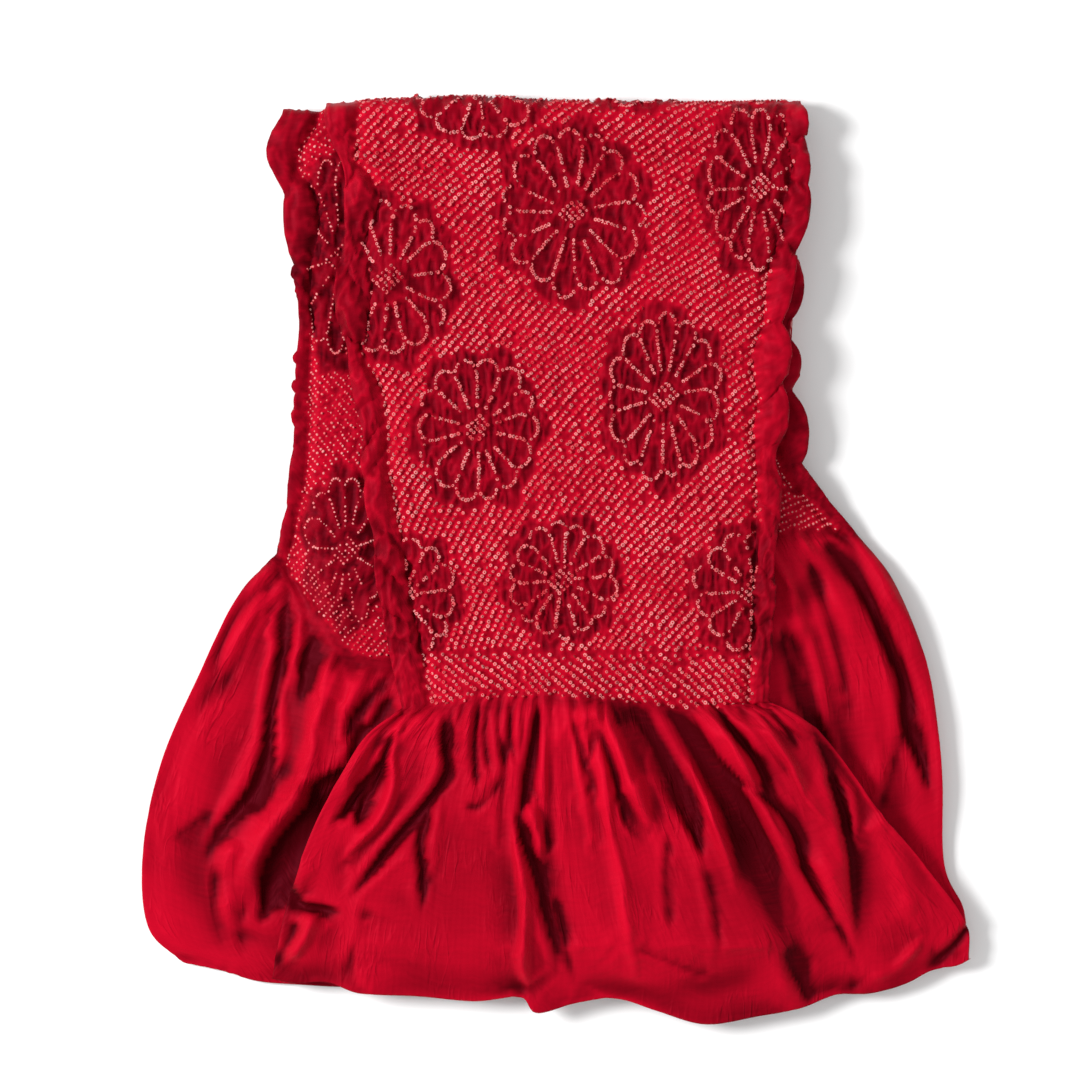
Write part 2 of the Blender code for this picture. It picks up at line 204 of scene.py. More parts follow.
def silk_weave_group():
    """Crepe silk's own surface: fine crossed threads, slubs along the weft, and slow changes in the dye."""
    group, start, end = node_group(
        "silk weave",
        {"Threads per mm": 2.2, "Slub": 0.5},
        {"Height": "NodeSocketFloat", "Tone": "NodeSocketFloat"},
    )
    flat = add_node(group, "UVMap").outputs["UV"]
    scale = add_math(group, "MULTIPLY", start.outputs["Threads per mm"], WAVE_SCALE)
    threads = {"Vector": flat, "Scale": scale, "Distortion": 1.4, "Detail": 1}
    waves = [add_node(group, "TexWave", threads, bands_direction=way).outputs["Fac"] for way in ("X", "Y")]
    crossed = add_math(group, "MULTIPLY", add_math(group, "ADD", *waves), THREAD_HEIGHT)
    stretched = add_node(group, "Mapping", {"Vector": flat, "Scale": SLUBS_PER_METRE}).outputs["Vector"]
    slubs = add_node(group, "TexNoise", {"Vector": stretched, "Scale": 1, "Detail": 4})
    slub_height = add_math(group, "MULTIPLY", slubs.outputs["Fac"], start.outputs["Slub"])
    dye = add_node(group, "TexNoise", {"Vector": flat, "Scale": 28, "Detail": 5})
    group.links.new(add_math(group, "ADD", crossed, slub_height), end.inputs["Height"])
    group.links.new(add_math(group, "ADD", dye.outputs["Fac"], slub_height), end.inputs["Tone"])
    return group


def dye_and_painted_shade_group():
    """Colour between lit and shaded copies of the crimson. Where the silk stands high it is painted brighter as
    painted light, and its hollows are painted in the shaded crimson as painted shade. The silk's random tone
    spreads the mix a little and sets its roughness.
    """
    group, start, end = node_group(
        "dyed silk",
        {"Shaded": SHADED_CRIMSON, "Bright": LIT_RED, "Depth": 0.5, "Tone": 0.5},
        {"Colour": "NodeSocketColor", "Roughness": "NodeSocketFloat"},
    )
    tone = start.outputs["Tone"]
    uneven = {"Value": tone, "From Min": 0.45, "From Max": 1.15, "To Min": -0.12, "To Max": 0.12}
    spread = add_node(group, "MapRange", uneven).outputs["Result"]
    share = add_math(group, "ADD", start.outputs["Depth"], spread)
    gloss = add_node(group, "MapRange", {"Value": tone, "To Min": 0.66, "To Max": 0.52})
    group.links.new(mixed(group, share, start.outputs["Shaded"], start.outputs["Bright"]), end.inputs["Colour"])
    group.links.new(gloss.outputs["Result"], end.inputs["Roughness"])
    return group


HIDDEN_ROW_ANGLE = -36
RINGS_PER_METRE = (280, 240, 1)
# How pale a ring is at each distance from its middle
RING_STOPS = ((0.1, 0.15), (0.22, 0.8), (0.42, 0))


def dyed_rows_group():
    """Rows of small pale rings dyed into the silk, for the lengths that lie hidden."""
    group, start, end = node_group(
        "rows of rings",
        {"Cloth": LIT_RED, "Ring": PALE_DOT},
        {"Colour": "NodeSocketColor", "Height": "NodeSocketFloat"},
    )
    flat = add_node(group, "UVMap").outputs["UV"]
    slant = (0, 0, math.radians(HIDDEN_ROW_ANGLE))
    rows = add_node(group, "Mapping", {"Vector": flat, "Rotation": slant, "Scale": RINGS_PER_METRE})
    spaced = {"Vector": rows.outputs["Vector"], "Scale": 1, "Randomness": 0.3}
    cells = add_node(group, "TexVoronoi", spaced, voronoi_dimensions="2D").outputs["Distance"]
    ring = add_node(group, "ValToRGB", {"Fac": cells})
    stops = ring.color_ramp.elements
    stops.new(RING_STOPS[1][0])
    for stop, (place, pale) in zip(stops, RING_STOPS):
        stop.position = place
        stop.color = (pale, pale, pale, 1)
    colour = mixed(group, ring.outputs["Color"], start.outputs["Cloth"], start.outputs["Ring"])
    group.links.new(colour, end.inputs["Colour"])
    group.links.new(add_math(group, "SUBTRACT", 1, cells), end.inputs["Height"])
    return group


# Two layers of fine wrinkles: how far they slant, and how many there are across and along a metre
WRINKLES = ((6, 105, 24), (-16, 170, 50))
SECOND_WRINKLES = 0.6


def fine_creases_group():
    """The fine sharp wrinkles that are left in plain silk, most of them along the cloth and in patches."""
    group, start, end = node_group(
        "fine creases", {"Width": 0.06, "Patches": 32}, {"Height": "NodeSocketFloat"}
    )
    flat = add_node(group, "UVMap").outputs["UV"]
    layers = []
    for slant, across, along in WRINKLES:
        lie = {"Vector": flat, "Rotation": (0, 0, math.radians(slant)), "Scale": (across, along, 1)}
        lying = add_node(group, "Mapping", lie).outputs["Vector"]
        lines = add_node(group, "TexNoise", {"Vector": lying, "Scale": 1, "Detail": 2})
        off_line = add_math(group, "SUBTRACT", lines.outputs["Fac"], 0.5)
        off_line = add_math(group, "ABSOLUTE", off_line, 0)
        off_line = add_math(group, "DIVIDE", off_line, start.outputs["Width"])
        layers.append(add_math(group, "SUBTRACT", 1, add_math(group, "MINIMUM", off_line, 1)))
    patches = add_node(group, "TexNoise", {"Vector": flat, "Scale": start.outputs["Patches"]})
    chosen = {"Value": patches.outputs["Fac"], "From Min": 0.46, "From Max": 0.7}
    strength = add_node(group, "MapRange", chosen)
    both = add_math(group, "ADD", layers[0], add_math(group, "MULTIPLY", layers[1], SECOND_WRINKLES))
    group.links.new(add_math(group, "MULTIPLY", both, strength.outputs["Result"]), end.inputs["Height"])
    return group


WEAVE = silk_weave_group()
FINE_CREASES = fine_creases_group()
DYE_AND_PAINTED_SHADE = dye_and_painted_shade_group()
DYED_ROWS = dyed_rows_group()
SILK_SHEEN = {
    "Specular IOR Level": 0.22,
    "Specular Tint": (1, 0.06, 0.15, 1),
    "Sheen Weight": 0.05,
    "Sheen Roughness": 0.4,
    "Sheen Tint": (1, 0.05, 0.12, 1),
}


def silk_material(name, bump_distance, bump_strength):
    """A new material of dyed, woven silk, with its tree, shader, dye node that paints light and shade, and
    bump, and no colour linked yet.
    """
    material = bpy.data.materials.new(name)
    material.use_nodes = True
    tree = material.node_tree
    shader = tree.nodes["Principled BSDF"]
    for socket, value in SILK_SHEEN.items():
        shader.inputs[socket].default_value = value
    weave = add_node(tree, "Group", node_tree=WEAVE)
    # dyed mixes the colour between the painted shade and the painted light
    dyed = add_node(tree, "Group", {"Tone": weave.outputs["Tone"]}, node_tree=DYE_AND_PAINTED_SHADE)
    height = {"Height": weave.outputs["Height"], "Distance": bump_distance, "Strength": bump_strength}
    bump = add_node(tree, "Bump", height)
    tree.links.new(dyed.outputs["Roughness"], shader.inputs["Roughness"])
    tree.links.new(bump.outputs["Normal"], shader.inputs["Normal"])
    return material, tree, shader, dyed, bump


def hidden_material():
    """Dyed silk whose bump follows its rings and not its weave."""
    material, tree, shader, dyed, bump = silk_material("hidden silk", 0.0006, 0.7)
    rings = add_node(tree, "Group", {"Cloth": dyed.outputs["Colour"]}, node_tree=DYED_ROWS)
    tree.links.new(rings.outputs["Colour"], shader.inputs["Base Color"])
    tree.links.new(rings.outputs["Height"], bump.inputs["Height"])
    return material


def hidden_middle():
    outer = line_across(OUTER_FOLD, HIDDEN_COLUMNS, OUTER_FOLD_RADIUS)
    inner = line_across(INNER_FOLD, HIDDEN_COLUMNS, INNER_FOLD_RADIUS)
    foot = line_across(FOOT_FOLD, HIDDEN_COLUMNS, -INNER_FOLD_RADIUS)
    outer_length = np.linalg.norm(outer - foot, axis=1).mean()
    inner_length = np.linalg.norm(inner - foot, axis=1).mean()
    down = between(outer, foot, np.linspace(BEHIND_OUTER_FOLD / outer_length, 1, HIDDEN_ROWS))
    up = between(foot, inner, np.linspace(0, 1 - BEHIND_INNER_FOLD / inner_length, HIDDEN_ROWS))
    foot_angles = np.linspace(-90, -270, FOOT_ROWS)[1:-1]
    foot_turn = turn_over(foot, INNER_FOLD_RADIUS, UNDER_Z + INNER_FOLD_RADIUS, foot_angles)
    points = np.concatenate([with_height(down, UNDER_Z), foot_turn, with_height(up, INNER_Z)])
    run = run_along(points)
    across = np.linspace(0, 1, HIDDEN_COLUMNS + 1)[None]
    edge = np.minimum(across, 1 - across) * np.linalg.norm(outer[-1] - outer[0])
    near = 1 - smooth_step(edge, 0, MARGIN)
    turn = 2 * math.pi * run / FRILL_LENGTH + FRILL_SHIFT * np.sin(run / FRILL_SHIFT_LENGTH)
    lift = near * HIDDEN_FRILL * (0.5 + 0.5 * np.sin(turn))
    points[..., 2] += lift * smooth_step(np.abs(run - run[-1] / 2), 0, FRILL_FREE)
    flat = np.stack([np.broadcast_to(across * CLOTH_WIDTH, run.shape), run], axis=2)
    piece = cloth_grid("hidden_middle", points, flat)
    thickness = piece.modifiers.new("thickness", "SOLIDIFY")
    thickness.thickness = HIDDEN_CLOTH * MM
    thickness.offset = 0
    bpy.ops.object.modifier_apply(modifier=thickness.name)
    piece.data.materials.append(hidden_material())
    return piece, points, run


hidden, hidden_points, hidden_run = hidden_middle()
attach(hidden, "root")
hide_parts("obiage")


# The back end. It comes over the inner fold and down, its reverse side up, and shows past the front length on
# both sides. Its tied length stops short in a slanting line, and below it the untied silk springs out to its
# full width in a tail that lies gathered on the surface.

DETAIL = 2
COLUMNS = 64 * DETAIL

# A line across an end of the cloth, with the number of steps to the next line
Station = namedtuple("Station", "place steps points")
BACK_PANEL = (
    Station("inner fold", 3, INNER_FOLD),
    Station("lobe", 4, ((-107.4, 151), (-8.4, 152), (88.8, 152))),
    Station("shoulder", 6, ((-101.8, 133), (-5.2, 133), (89.4, 133))),
    Station("upper flowers", 6, ((-98.1, 96.9), (-4, 96.9), (88.4, 96.9))),
    Station("waist", 5, ((-98.6, 59.4), (-3, 59.4), (88.4, 61.3))),
    Station("lower flowers", 5, ((-100.2, 29.4), (-60, 10), (-2.8, 4), (60, 26), (91.6, 36.2))),
    Station("gather", 0, ((-105.6, 2.5), (-76, -37), (-4, -36), (66, 8), (111, 11.5))),
)
BACK_TAIL = (
    Station("gather", 5, BACK_PANEL[-1].points),
    Station("below gather", 6, ((-119.5, -12), (-78, -56), (2, -58), (84, -18), (127.5, -9))),
    Station("shoulder", 6, ((-133.4, -40), (-75, -80), (2, -84), (80, -60), (140, -42.5))),
    Station("half way", 6, ((-149, -75.5), (-70, -105), (5, -112), (80, -95), (144.8, -79.5))),
    Station("spread", 5, ((-156.3, -109.5), (-72, -130), (8, -137), (82, -128), (146, -114))),
    Station("above hem", 5, ((-154.6, -138), (-77, -148), (5, -151), (82, -147), (153, -130))),
    Station("hem", 0, (
        (-141, -151.5), (-125, -155.2), (-112, -159), (-95, -160), (-66, -161), (0, -160), (60, -158),
        (110, -154), (154.4, -141),
    )),
)

# A crease of a tail runs along route, from the gathers down. reach is how wide it spreads, rise is its
# height, or depth below 0, and step is how much higher the cloth stands on its left than on its right.
Crease = namedtuple("Crease", "reach rise step route")
BACK_CREASES = (
    Crease(2.8, -5.6, 2.4, (
        (-97, -4), (-102, -18), (-103, -36), (-107, -56), (-109, -75), (-115, -89), (-126, -102),
        (-134, -117),
    )),
    Crease(4.2, -5.0, 1.5, ((-80, 6), (-86, -8), (-90, -24), (-94, -40), (-98, -58))),
    Crease(2.0, -2.8, 1.2, ((-62, -40), (-70, -52), (-77, -60), (-80.6, -74))),
    Crease(2.2, -3.6, 1.0, ((-60, -48), (-67.7, -60.6), (-73.6, -66.4), (-79.4, -79.3), (-88, -90))),
    Crease(6.0, -10, 3.4, ((-78, -76), (-90, -95), (-101, -108), (-107, -120), (-113, -142))),
    Crease(5.0, 4.6, 0, ((-92, -82), (-105, -98), (-114, -114), (-121, -134))),
    Crease(2.4, 3.0, 0, ((-94, -14), (-97.5, -34), (-104, -52), (-104, -72), (-109, -90))),
    Crease(4.0, 3.4, 0, ((-82, -30), (-89, -56), (-94, -80), (-102, -100))),
    Crease(9.0, 3.2, 0, ((-108, -6), (-126, -44), (-140, -80), (-147, -118))),
    Crease(3.0, -1.8, 1.2, ((-112, -2), (-124, -26), (-130, -48), (-140, -72))),
    Crease(2.6, -1.8, 0.8, ((-106, -4), (-112, -22), (-122, -42), (-132, -60))),
    Crease(2.0, -0.9, 0.4, ((-128, -94), (-137, -100), (-147, -108))),
    Crease(3.0, 2.2, 0, ((-120, -104), (-124, -120), (-122, -142))),
    Crease(2.0, -0.8, 0.3, ((-127, -114), (-129, -130), (-125, -150))),
    Crease(2.0, -1.0, 0.4, ((-116, -114), (-119, -134), (-118, -152))),
    Crease(2.0, -1.6, 0.6, ((92, 4), (100, -18), (106, -40), (110, -64))),
    Crease(2.2, -3.8, 1.6, (
        (110, -4), (122, -30), (128.5, -45), (130, -61), (134.2, -71), (138, -83), (142, -98),
    )),
    Crease(8.0, 3.0, 0, ((96, -4), (108, -26), (117, -52), (120, -80), (124, -104))),
    Crease(4.0, 2.6, 0, ((112, 4), (128, -24), (138, -52), (144, -84), (150, -118))),
    Crease(2.6, -1.4, 1.0, ((130, -58), (126.6, -73), (122, -88), (120, -100))),
    Crease(4.0, -4.6, 0.5, ((83, -22), (86, -40), (94, -60), (106, -76))),
    Crease(2.6, -2.4, 0.8, ((98, 8), (110, -6), (120, -24))),
)
CREASE_LEGS = 18
CREASE_STARTS = 0.18
CREASE_ENDS = 0.7
CREASE_BROAD = 2.6
CREASE_FLOOR = 0.35
CREASE_NARROW = 0.8
CREASE_TIP = 0.4
CREASE_CORE = 0.65
STEP_EDGE = 1.4
TAIL_LOFT = 3.6
LOFT_REACH = 18
CREASE_REACH = 8
HEM_STARTS = 0.86
HEM_FLATTENS = 0.55
ROUNDING = 2.2
GATHERS = 26
GATHER_HEIGHT = 1.5
GATHER_HEIGHTS = (0.7, 1.5)
GATHER_REACHES = (16, 24, 36, 60, 95)
GATHER_REACH_VARIES = (0.8, 1.25)
GATHER_STRAY = 0.4
GATHER_WAVER = 0.004
GATHER_WAVER_LENGTH = 14
GATHER_THICKNESS = (1.5, 2.6)
GATHER_WIDENS = 60
VALLEY_PLACE = 1.5
VALLEY_WIDTH = 0.55
VALLEY_DEPTH = 0.8
TIED_END = 10
HOLLOW = 0.45
HOLLOW_WIDTH = 15
HOLLOW_LENGTH = 19
HOLLOW_BEND = 27
RIPPLE = 0.25
RIPPLE_LENGTH = 9
RIPPLE_SLANT = 1.4
DRAPE_PASSES = 70 * DETAIL**2
LEVEL_ROWS = 5 * DETAIL
BARE_FLOOR = 0.5
FULL_GAP = 3
MAP_CELL = 1.25
MAP_LOW = np.array([-190, -200])
MAP_CELLS = (330, 310)
FEEL_CELLS = 3

# One end of the cloth: its lines from the fold to the hem and its creases, the radius and layer of its fold,
# the gap under its tail, the seed of its gathers, how much wider its tail is than its room, how finely it is
# meshed, how much of it lies behind its fold, and its flowers, margins, ruffles and dye.
End = namedtuple(
    "End",
    "name panel tail creases radius layer_z gap seed fullness panel_rows tail_rows columns "
    "behind behind_step flowers margins ruffles tied_tone",
)


def laid_out(stations):
    """The layer seen from above: the (x, y) of every row and column, and each row's share of the run."""
    lines = np.stack([evenly(s.points, COLUMNS) for s in stations])
    counts = [s.steps * DETAIL for s in stations[:-1]]
    places = np.concatenate([i + np.arange(n) / n for i, n in enumerate(counts)] + [[len(counts)]])
    shares = places / len(counts)
    flat = spline(lines.reshape(len(stations), -1), shares)
    return flat.reshape(len(shares), COLUMNS + 1, 2), shares


def below_fold(stations, radius):
    """The stations with the first one drawn back to where its fold starts to turn."""
    first = stations[0]
    drawn = tuple((x, y - radius) for x, y in first.points)
    return (first._replace(points=drawn),) + stations[1:]


def unevenness(plan):
    """The slow rise and fall of tied cloth that doesn't lie quite flat."""
    x, y = plan[..., 0], plan[..., 1]
    hollows = np.sin(x / HOLLOW_WIDTH + np.sin(y / HOLLOW_BEND)) * np.cos(y / HOLLOW_LENGTH)
    ripple = np.sin((x + RIPPLE_SLANT * y) / RIPPLE_LENGTH)
    return (HOLLOW + RIPPLE) + HOLLOW * hollows + RIPPLE * ripple


def crease_height(plan, crease):
    """The rise of one crease: a ridge or trough along its route with a broad foot, fading at both ends, and
    the sharp step of a fold that lies over on its neighbour."""
    shares = np.linspace(0, 1, CREASE_LEGS + 1)
    line = spline(crease.route, shares)
    flat = plan.reshape(-1, 1, 2)
    leg = np.diff(line, axis=0)
    away = flat - line[:-1]
    share = np.clip((away * leg).sum(2) / (leg**2).sum(1), 0, 1)
    distance = np.linalg.norm(away - share[..., None] * leg, axis=2)
    nearest = distance.argmin(axis=1)
    picked = np.arange(len(flat))
    along = shares[nearest] + share[picked, nearest] * np.diff(shares)[nearest]
    fade = smooth_step(along, 0, CREASE_STARTS) * (1 - smooth_step(along, CREASE_ENDS, 1))
    near = distance[picked, nearest]
    reach = crease.reach * (CREASE_TIP + (1 - CREASE_TIP) * fade)
    turn = leg[nearest, 0] * away[picked, nearest, 1] - leg[nearest, 1] * away[picked, nearest, 0]
    if crease.rise > 0:
        core = np.exp(-((near / reach) ** 2))
    else:
        core = np.exp((CREASE_FLOOR - np.hypot(near, CREASE_FLOOR)) / (CREASE_NARROW * reach))
    foot = np.exp(-((near / reach / CREASE_BROAD) ** 2))
    stepped = crease.step / 2 * np.tanh(-np.sign(turn) * near / STEP_EDGE) * foot
    height = (crease.rise * (CREASE_CORE * core + (1 - CREASE_CORE) * foot) + stepped) * fade
    return height.reshape(plan.shape[:2])


def gathers(plan, seed):
    """The pleats that start where the tied cloth ends. Each runs on for its own length down the fan of the
    tail, with a rounded back and a narrow valley beside it."""
    chance = np.random.default_rng(seed)
    run = run_along(plan)
    width = np.linalg.norm(np.diff(plan, axis=1), axis=2).sum(axis=1)[:, None]
    across = np.linspace(0, 1, COLUMNS + 1)[None]
    height = np.zeros(plan.shape[:2])
    for number in range(GATHERS):
        place = (number + 0.5 + chance.uniform(-GATHER_STRAY, GATHER_STRAY)) / GATHERS
        waver = chance.normal(0, GATHER_WAVER)
        place = place + waver * np.sin(run / GATHER_WAVER_LENGTH + chance.uniform(0, 6))
        length = chance.choice(GATHER_REACHES) * chance.uniform(*GATHER_REACH_VARIES)
        thick = chance.uniform(*GATHER_THICKNESS) * (1 + run / GATHER_WIDENS)
        away = (across - place) * width
        fade = smooth_step(run, 0, CREASE_REACH / 3) * (1 - smooth_step(run, length / 4, length))
        back = np.exp(-((away / thick) ** 2))
        valley = np.exp(-(((away - VALLEY_PLACE * thick) / (VALLEY_WIDTH * thick)) ** 2))
        height += chance.uniform(*GATHER_HEIGHTS) * GATHER_HEIGHT * fade * (back - VALLEY_DEPTH * valley)
    return height


def tail_relief(plan, shares, end):
    """What the folds of a tail add to the height at which it is draped, never under 0."""
    run = run_along(plan)
    near_hem = 1 - HEM_FLATTENS * smooth_step(shares, HEM_STARTS, 1)[:, None]
    folds = sum(crease_height(plan, crease) for crease in end.creases)
    swell = TAIL_LOFT * smooth_step(run, 0, LOFT_REACH)
    relief = (swell + folds * smooth_step(run, 0, CREASE_REACH)) * near_hem + gathers(plan, end.seed)
    never_under = np.log1p(np.exp(ROUNDING * relief)) / ROUNDING
    return never_under * smooth_step(run, -CREASE_REACH / 3, CREASE_REACH / 2)


def smoothed(height):
    padded = np.pad(height, 1, mode="edge")
    around = padded[:-2, 1:-1] + padded[2:, 1:-1] + padded[1:-1, :-2] + padded[1:-1, 2:]
    return 0.5 * height + around / 8


def draped(least):
    """The height of cloth that rests on least, bridging hollows as it sags between high places."""
    height = least.copy()
    for _ in range(DRAPE_PASSES):
        height = np.maximum(smoothed(height), least)
    return height


def top_map(*layers):
    """The highest point of the layers in each small square of the plan, felt for a little way around."""
    top = np.zeros(MAP_CELLS)
    for points in layers:
        spots = ((points[..., :2] - MAP_LOW) / MAP_CELL).astype(int)
        np.maximum.at(top, (spots[..., 1], spots[..., 0]), points[..., 2])
    for _ in range(FEEL_CELLS):
        padded = np.pad(top, 1)
        shifts = [padded[r : r + top.shape[0], c : c + top.shape[1]] for r in range(3) for c in range(3)]
        top = np.max(shifts, axis=0)
    return top


def felt(top, plan):
    """The height of a map at each (x, y), blended between its squares."""
    place = (plan - MAP_LOW) / MAP_CELL - 0.5
    first = place.astype(int)
    share = place - first
    row, column = first[..., 1], first[..., 0]
    up, right = share[..., 1], share[..., 0]
    near = top[row, column] * (1 - right) + top[row, column + 1] * right
    far = top[row + 1, column] * (1 - right) + top[row + 1, column + 1] * right
    return near * (1 - up) + far * up


def laid_end(end, top):
    """One end of the cloth from its fold to its hem: its middle, its chart on the flat, and how far it is
    tied. The chart is the plan, where the dots and flowers have their places."""
    panel, _ = laid_out(below_fold(end.panel, end.radius))
    tail, shares = laid_out(end.tail)
    plan = np.concatenate([panel, tail[1:]])
    last = len(panel) - 1
    relief = np.vstack([unevenness(panel), tail_relief(tail, shares, end)[1:]])
    tied = np.vstack([np.ones(panel.shape[:2]), 1 - smooth_step(run_along(tail), 0, TIED_END)[1:]])
    half = (PLAIN_THICKNESS + (TIED_THICKNESS - PLAIN_THICKNESS) * tied) / 2
    under = felt(top, plan)
    space = end.gap + (LAYER_GAP - end.gap) * tied
    height = draped(under + space * smooth_step(under, BARE_FLOOR, FULL_GAP) + half) + relief
    settle = smooth_step(np.arange(len(plan)), 0, LEVEL_ROWS)[:, None]
    fold_z = end.layer_z + 2 * end.radius
    height = fold_z + (height - fold_z) * settle
    return with_height(plan, height), plan, tied, last


SIM_SCALE = 10
SIM_FRAMES = 36
SIM_GRAVITY = 0.3
SIM_CLOTH = {
    "quality": 7,
    "mass": 0.15,
    "tension_stiffness": 18,
    "compression_stiffness": 18,
    "shear_stiffness": 8,
    "bending_stiffness": 0.2,
    "air_damping": 3,
}
CLOTH_DISTANCE = 0.005
CLOTH_COLLISION_QUALITY = 3
HELD_ROWS = 3
REST_SLACK = 1.02
OUTLINE_HOLD = 0.55
INNER_HOLD = 0.0
COLLIDER_STEP = 2.5
COLLIDER_MARGIN = 12
COLLIDER_SKIN = 0.002
COLLIDER_FRICTION = 12


def grid_faces(shape):
    """The four corners of every square of a grid, row by row."""
    rows, columns = shape[:2]
    number = np.arange(rows * columns).reshape(rows, columns)
    corners = (number[:-1, :-1], number[:-1, 1:], number[1:, 1:], number[1:, :-1])
    return np.stack(corners, axis=2).reshape(-1, 4).tolist()


def sim_mesh(name, points):
    """A grid of (x, y, z) as a mesh object in the simulation's larger scale."""
    mesh = bpy.data.meshes.new(name)
    mesh.from_pydata((points.reshape(-1, 3) * MM * SIM_SCALE).tolist(), [], grid_faces(points.shape))
    piece = bpy.data.objects.new(name, mesh)
    bpy.context.scene.collection.objects.link(piece)
    return piece


def rest_shape(tail, fullness):
    """The tail laid flat, as wide at each row as its threads are: wider than the room its folds leave."""
    run = run_along(tail) * REST_SLACK
    width = np.linalg.norm(np.diff(tail[..., :2], axis=1), axis=2).sum(axis=1)
    shares = np.linspace(0, 1, len(tail))
    full = fullness[0] + (fullness[1] - fullness[0]) * smooth_step(shares, 0, 1)
    full[: HELD_ROWS + 1] = np.linspace(1, fullness[0], HELD_ROWS + 1)
    across = np.linspace(-0.5, 0.5, tail.shape[1])
    x = (width * full)[:, None] * across
    return np.stack([x, -run, np.zeros_like(x)], axis=2)


def settled(middle, last, top, end):
    """The tail let go as real cloth. It starts on its listed folds, held where it is tied and lightly along its
    outline, and its own width and weight settle it on the layers below."""
    tail = middle[last - HELD_ROWS :]
    cloth = sim_mesh("tail", tail)
    cloth.shape_key_add(name="Basis")
    flat = cloth.shape_key_add(name="flat")
    flat.data.foreach_set("co", (rest_shape(tail, end.fullness) * MM * SIM_SCALE).ravel())
    hold = np.full(tail.shape[:2], INNER_HOLD)
    hold[:, 0] = hold[:, -1] = hold[-1] = OUTLINE_HOLD
    hold[: HELD_ROWS + 1] = 1
    group = cloth.vertex_groups.new(name="held")
    for number, weight in enumerate(hold.ravel()):
        group.add([number], float(weight), "REPLACE")

    low = tail[..., :2].min(axis=(0, 1)) - COLLIDER_MARGIN
    high = tail[..., :2].max(axis=(0, 1)) + COLLIDER_MARGIN
    places = [np.arange(low[axis], high[axis], COLLIDER_STEP) for axis in (0, 1)]
    plan = np.stack(np.meshgrid(*places), axis=2)
    under = felt(top, plan)
    bridged = draped(under + end.gap * smooth_step(under, BARE_FLOOR, FULL_GAP))
    ground = sim_mesh("ground", with_height(plan, bridged))
    ground.modifiers.new("collision", "COLLISION")
    ground.collision.thickness_outer = COLLIDER_SKIN
    ground.collision.cloth_friction = COLLIDER_FRICTION

    simulation = cloth.modifiers.new("cloth", "CLOTH")
    settings = simulation.settings
    for name, value in SIM_CLOTH.items():
        setattr(settings, name, value)
    settings.vertex_group_mass = group.name
    settings.effector_weights.gravity = SIM_GRAVITY
    settings.rest_shape_key = flat
    simulation.collision_settings.distance_min = CLOTH_DISTANCE
    simulation.collision_settings.collision_quality = CLOTH_COLLISION_QUALITY
    simulation.point_cache.frame_end = SIM_FRAMES
    for number in range(1, SIM_FRAMES + 1):
        bpy.context.scene.frame_set(number)
    shaped = cloth.evaluated_get(bpy.context.evaluated_depsgraph_get()).data
    result = np.empty(tail.size)
    shaped.vertices.foreach_get("co", result)
    bpy.context.scene.frame_set(1)
    for piece in (cloth, ground):
        mesh = piece.data
        bpy.data.objects.remove(piece)
        bpy.data.meshes.remove(mesh)
    return np.concatenate([middle[: last - HELD_ROWS], result.reshape(tail.shape) / (MM * SIM_SCALE)])


def finer(grid, places, columns):
    """The same surface with more rows and columns: rows at places from 0 to 1, and evenly shared columns."""
    rows = spline(grid.reshape(len(grid), -1), places).reshape(len(places), grid.shape[1], -1)
    turned = rows.transpose(1, 0, 2)
    across = spline(turned.reshape(len(turned), -1), np.linspace(0, 1, columns + 1))
    return across.reshape(columns + 1, len(places), -1).transpose(1, 0, 2)


def normals_of(points):
    """The direction away from the cloth's upper side at each vertex of a grid that runs from fold to hem."""
    across = np.gradient(points, axis=1)
    down = np.gradient(points, axis=0)
    away = np.cross(down, across)
    return away / np.linalg.norm(away, axis=2, keepdims=True)


LEAST_FOLD_ROWS = 8


def rows_behind(end):
    """The rows just behind a top fold, from the far one up to where the fold starts to turn."""
    line = line_across(end.panel[0].points, end.columns, end.radius)
    foot = line_across(FOOT_FOLD, end.columns, -INNER_FOLD_RADIUS)
    length = np.linalg.norm(line[[0, -1]] - foot[[0, -1]], axis=1).mean()
    shares = np.arange(end.behind, 0, -end.behind_step) / length
    return with_height(between(line, foot, shares), end.layer_z)


def end_grid(end, middle, chart, tied, last):
    """The end in its final rows, with its top fold and a little of the layer behind it put before them."""
    share = last / (len(middle) - 1)
    to_gather = np.linspace(0, share, end.panel_rows + 1)
    to_hem = np.linspace(share, 1, end.tail_rows + 1)[1:]
    places = np.concatenate([to_gather, to_hem])
    body = finer(middle, places, end.columns)
    body_chart = finer(chart, places, end.columns)
    body_tied = finer(tied[..., None], places, end.columns)[..., 0]
    behind = rows_behind(end)
    angles = np.linspace(-90, 90, max(LEAST_FOLD_ROWS, round(math.pi * end.radius)) + 1)[:-1]
    turn = turn_over(body[0][:, :2], end.radius, end.layer_z + end.radius, angles)
    above = np.radians(90 - angles)[:, None] * end.radius
    turn_chart = np.stack([np.broadcast_to(body[0][:, 0], turn.shape[:2]), body[0][:, 1] + above], axis=2)
    behind_chart = behind[..., :2].copy()
    behind_chart[..., 1] = turn_chart[0][:, 1] + (behind[-1][:, 1] - behind[..., 1])
    points = np.concatenate([behind, turn, body])
    charts = np.concatenate([behind_chart, turn_chart, body_chart])
    ties = np.concatenate([np.ones((len(behind) + len(turn), end.columns + 1)), body_tied])
    return points, charts, ties


BODY_RISE = 2.6
BODY_STARTS = 9
EDGE_ROOM = 12
EDGE_SHARE = 0.3
PRESSED = 0.95


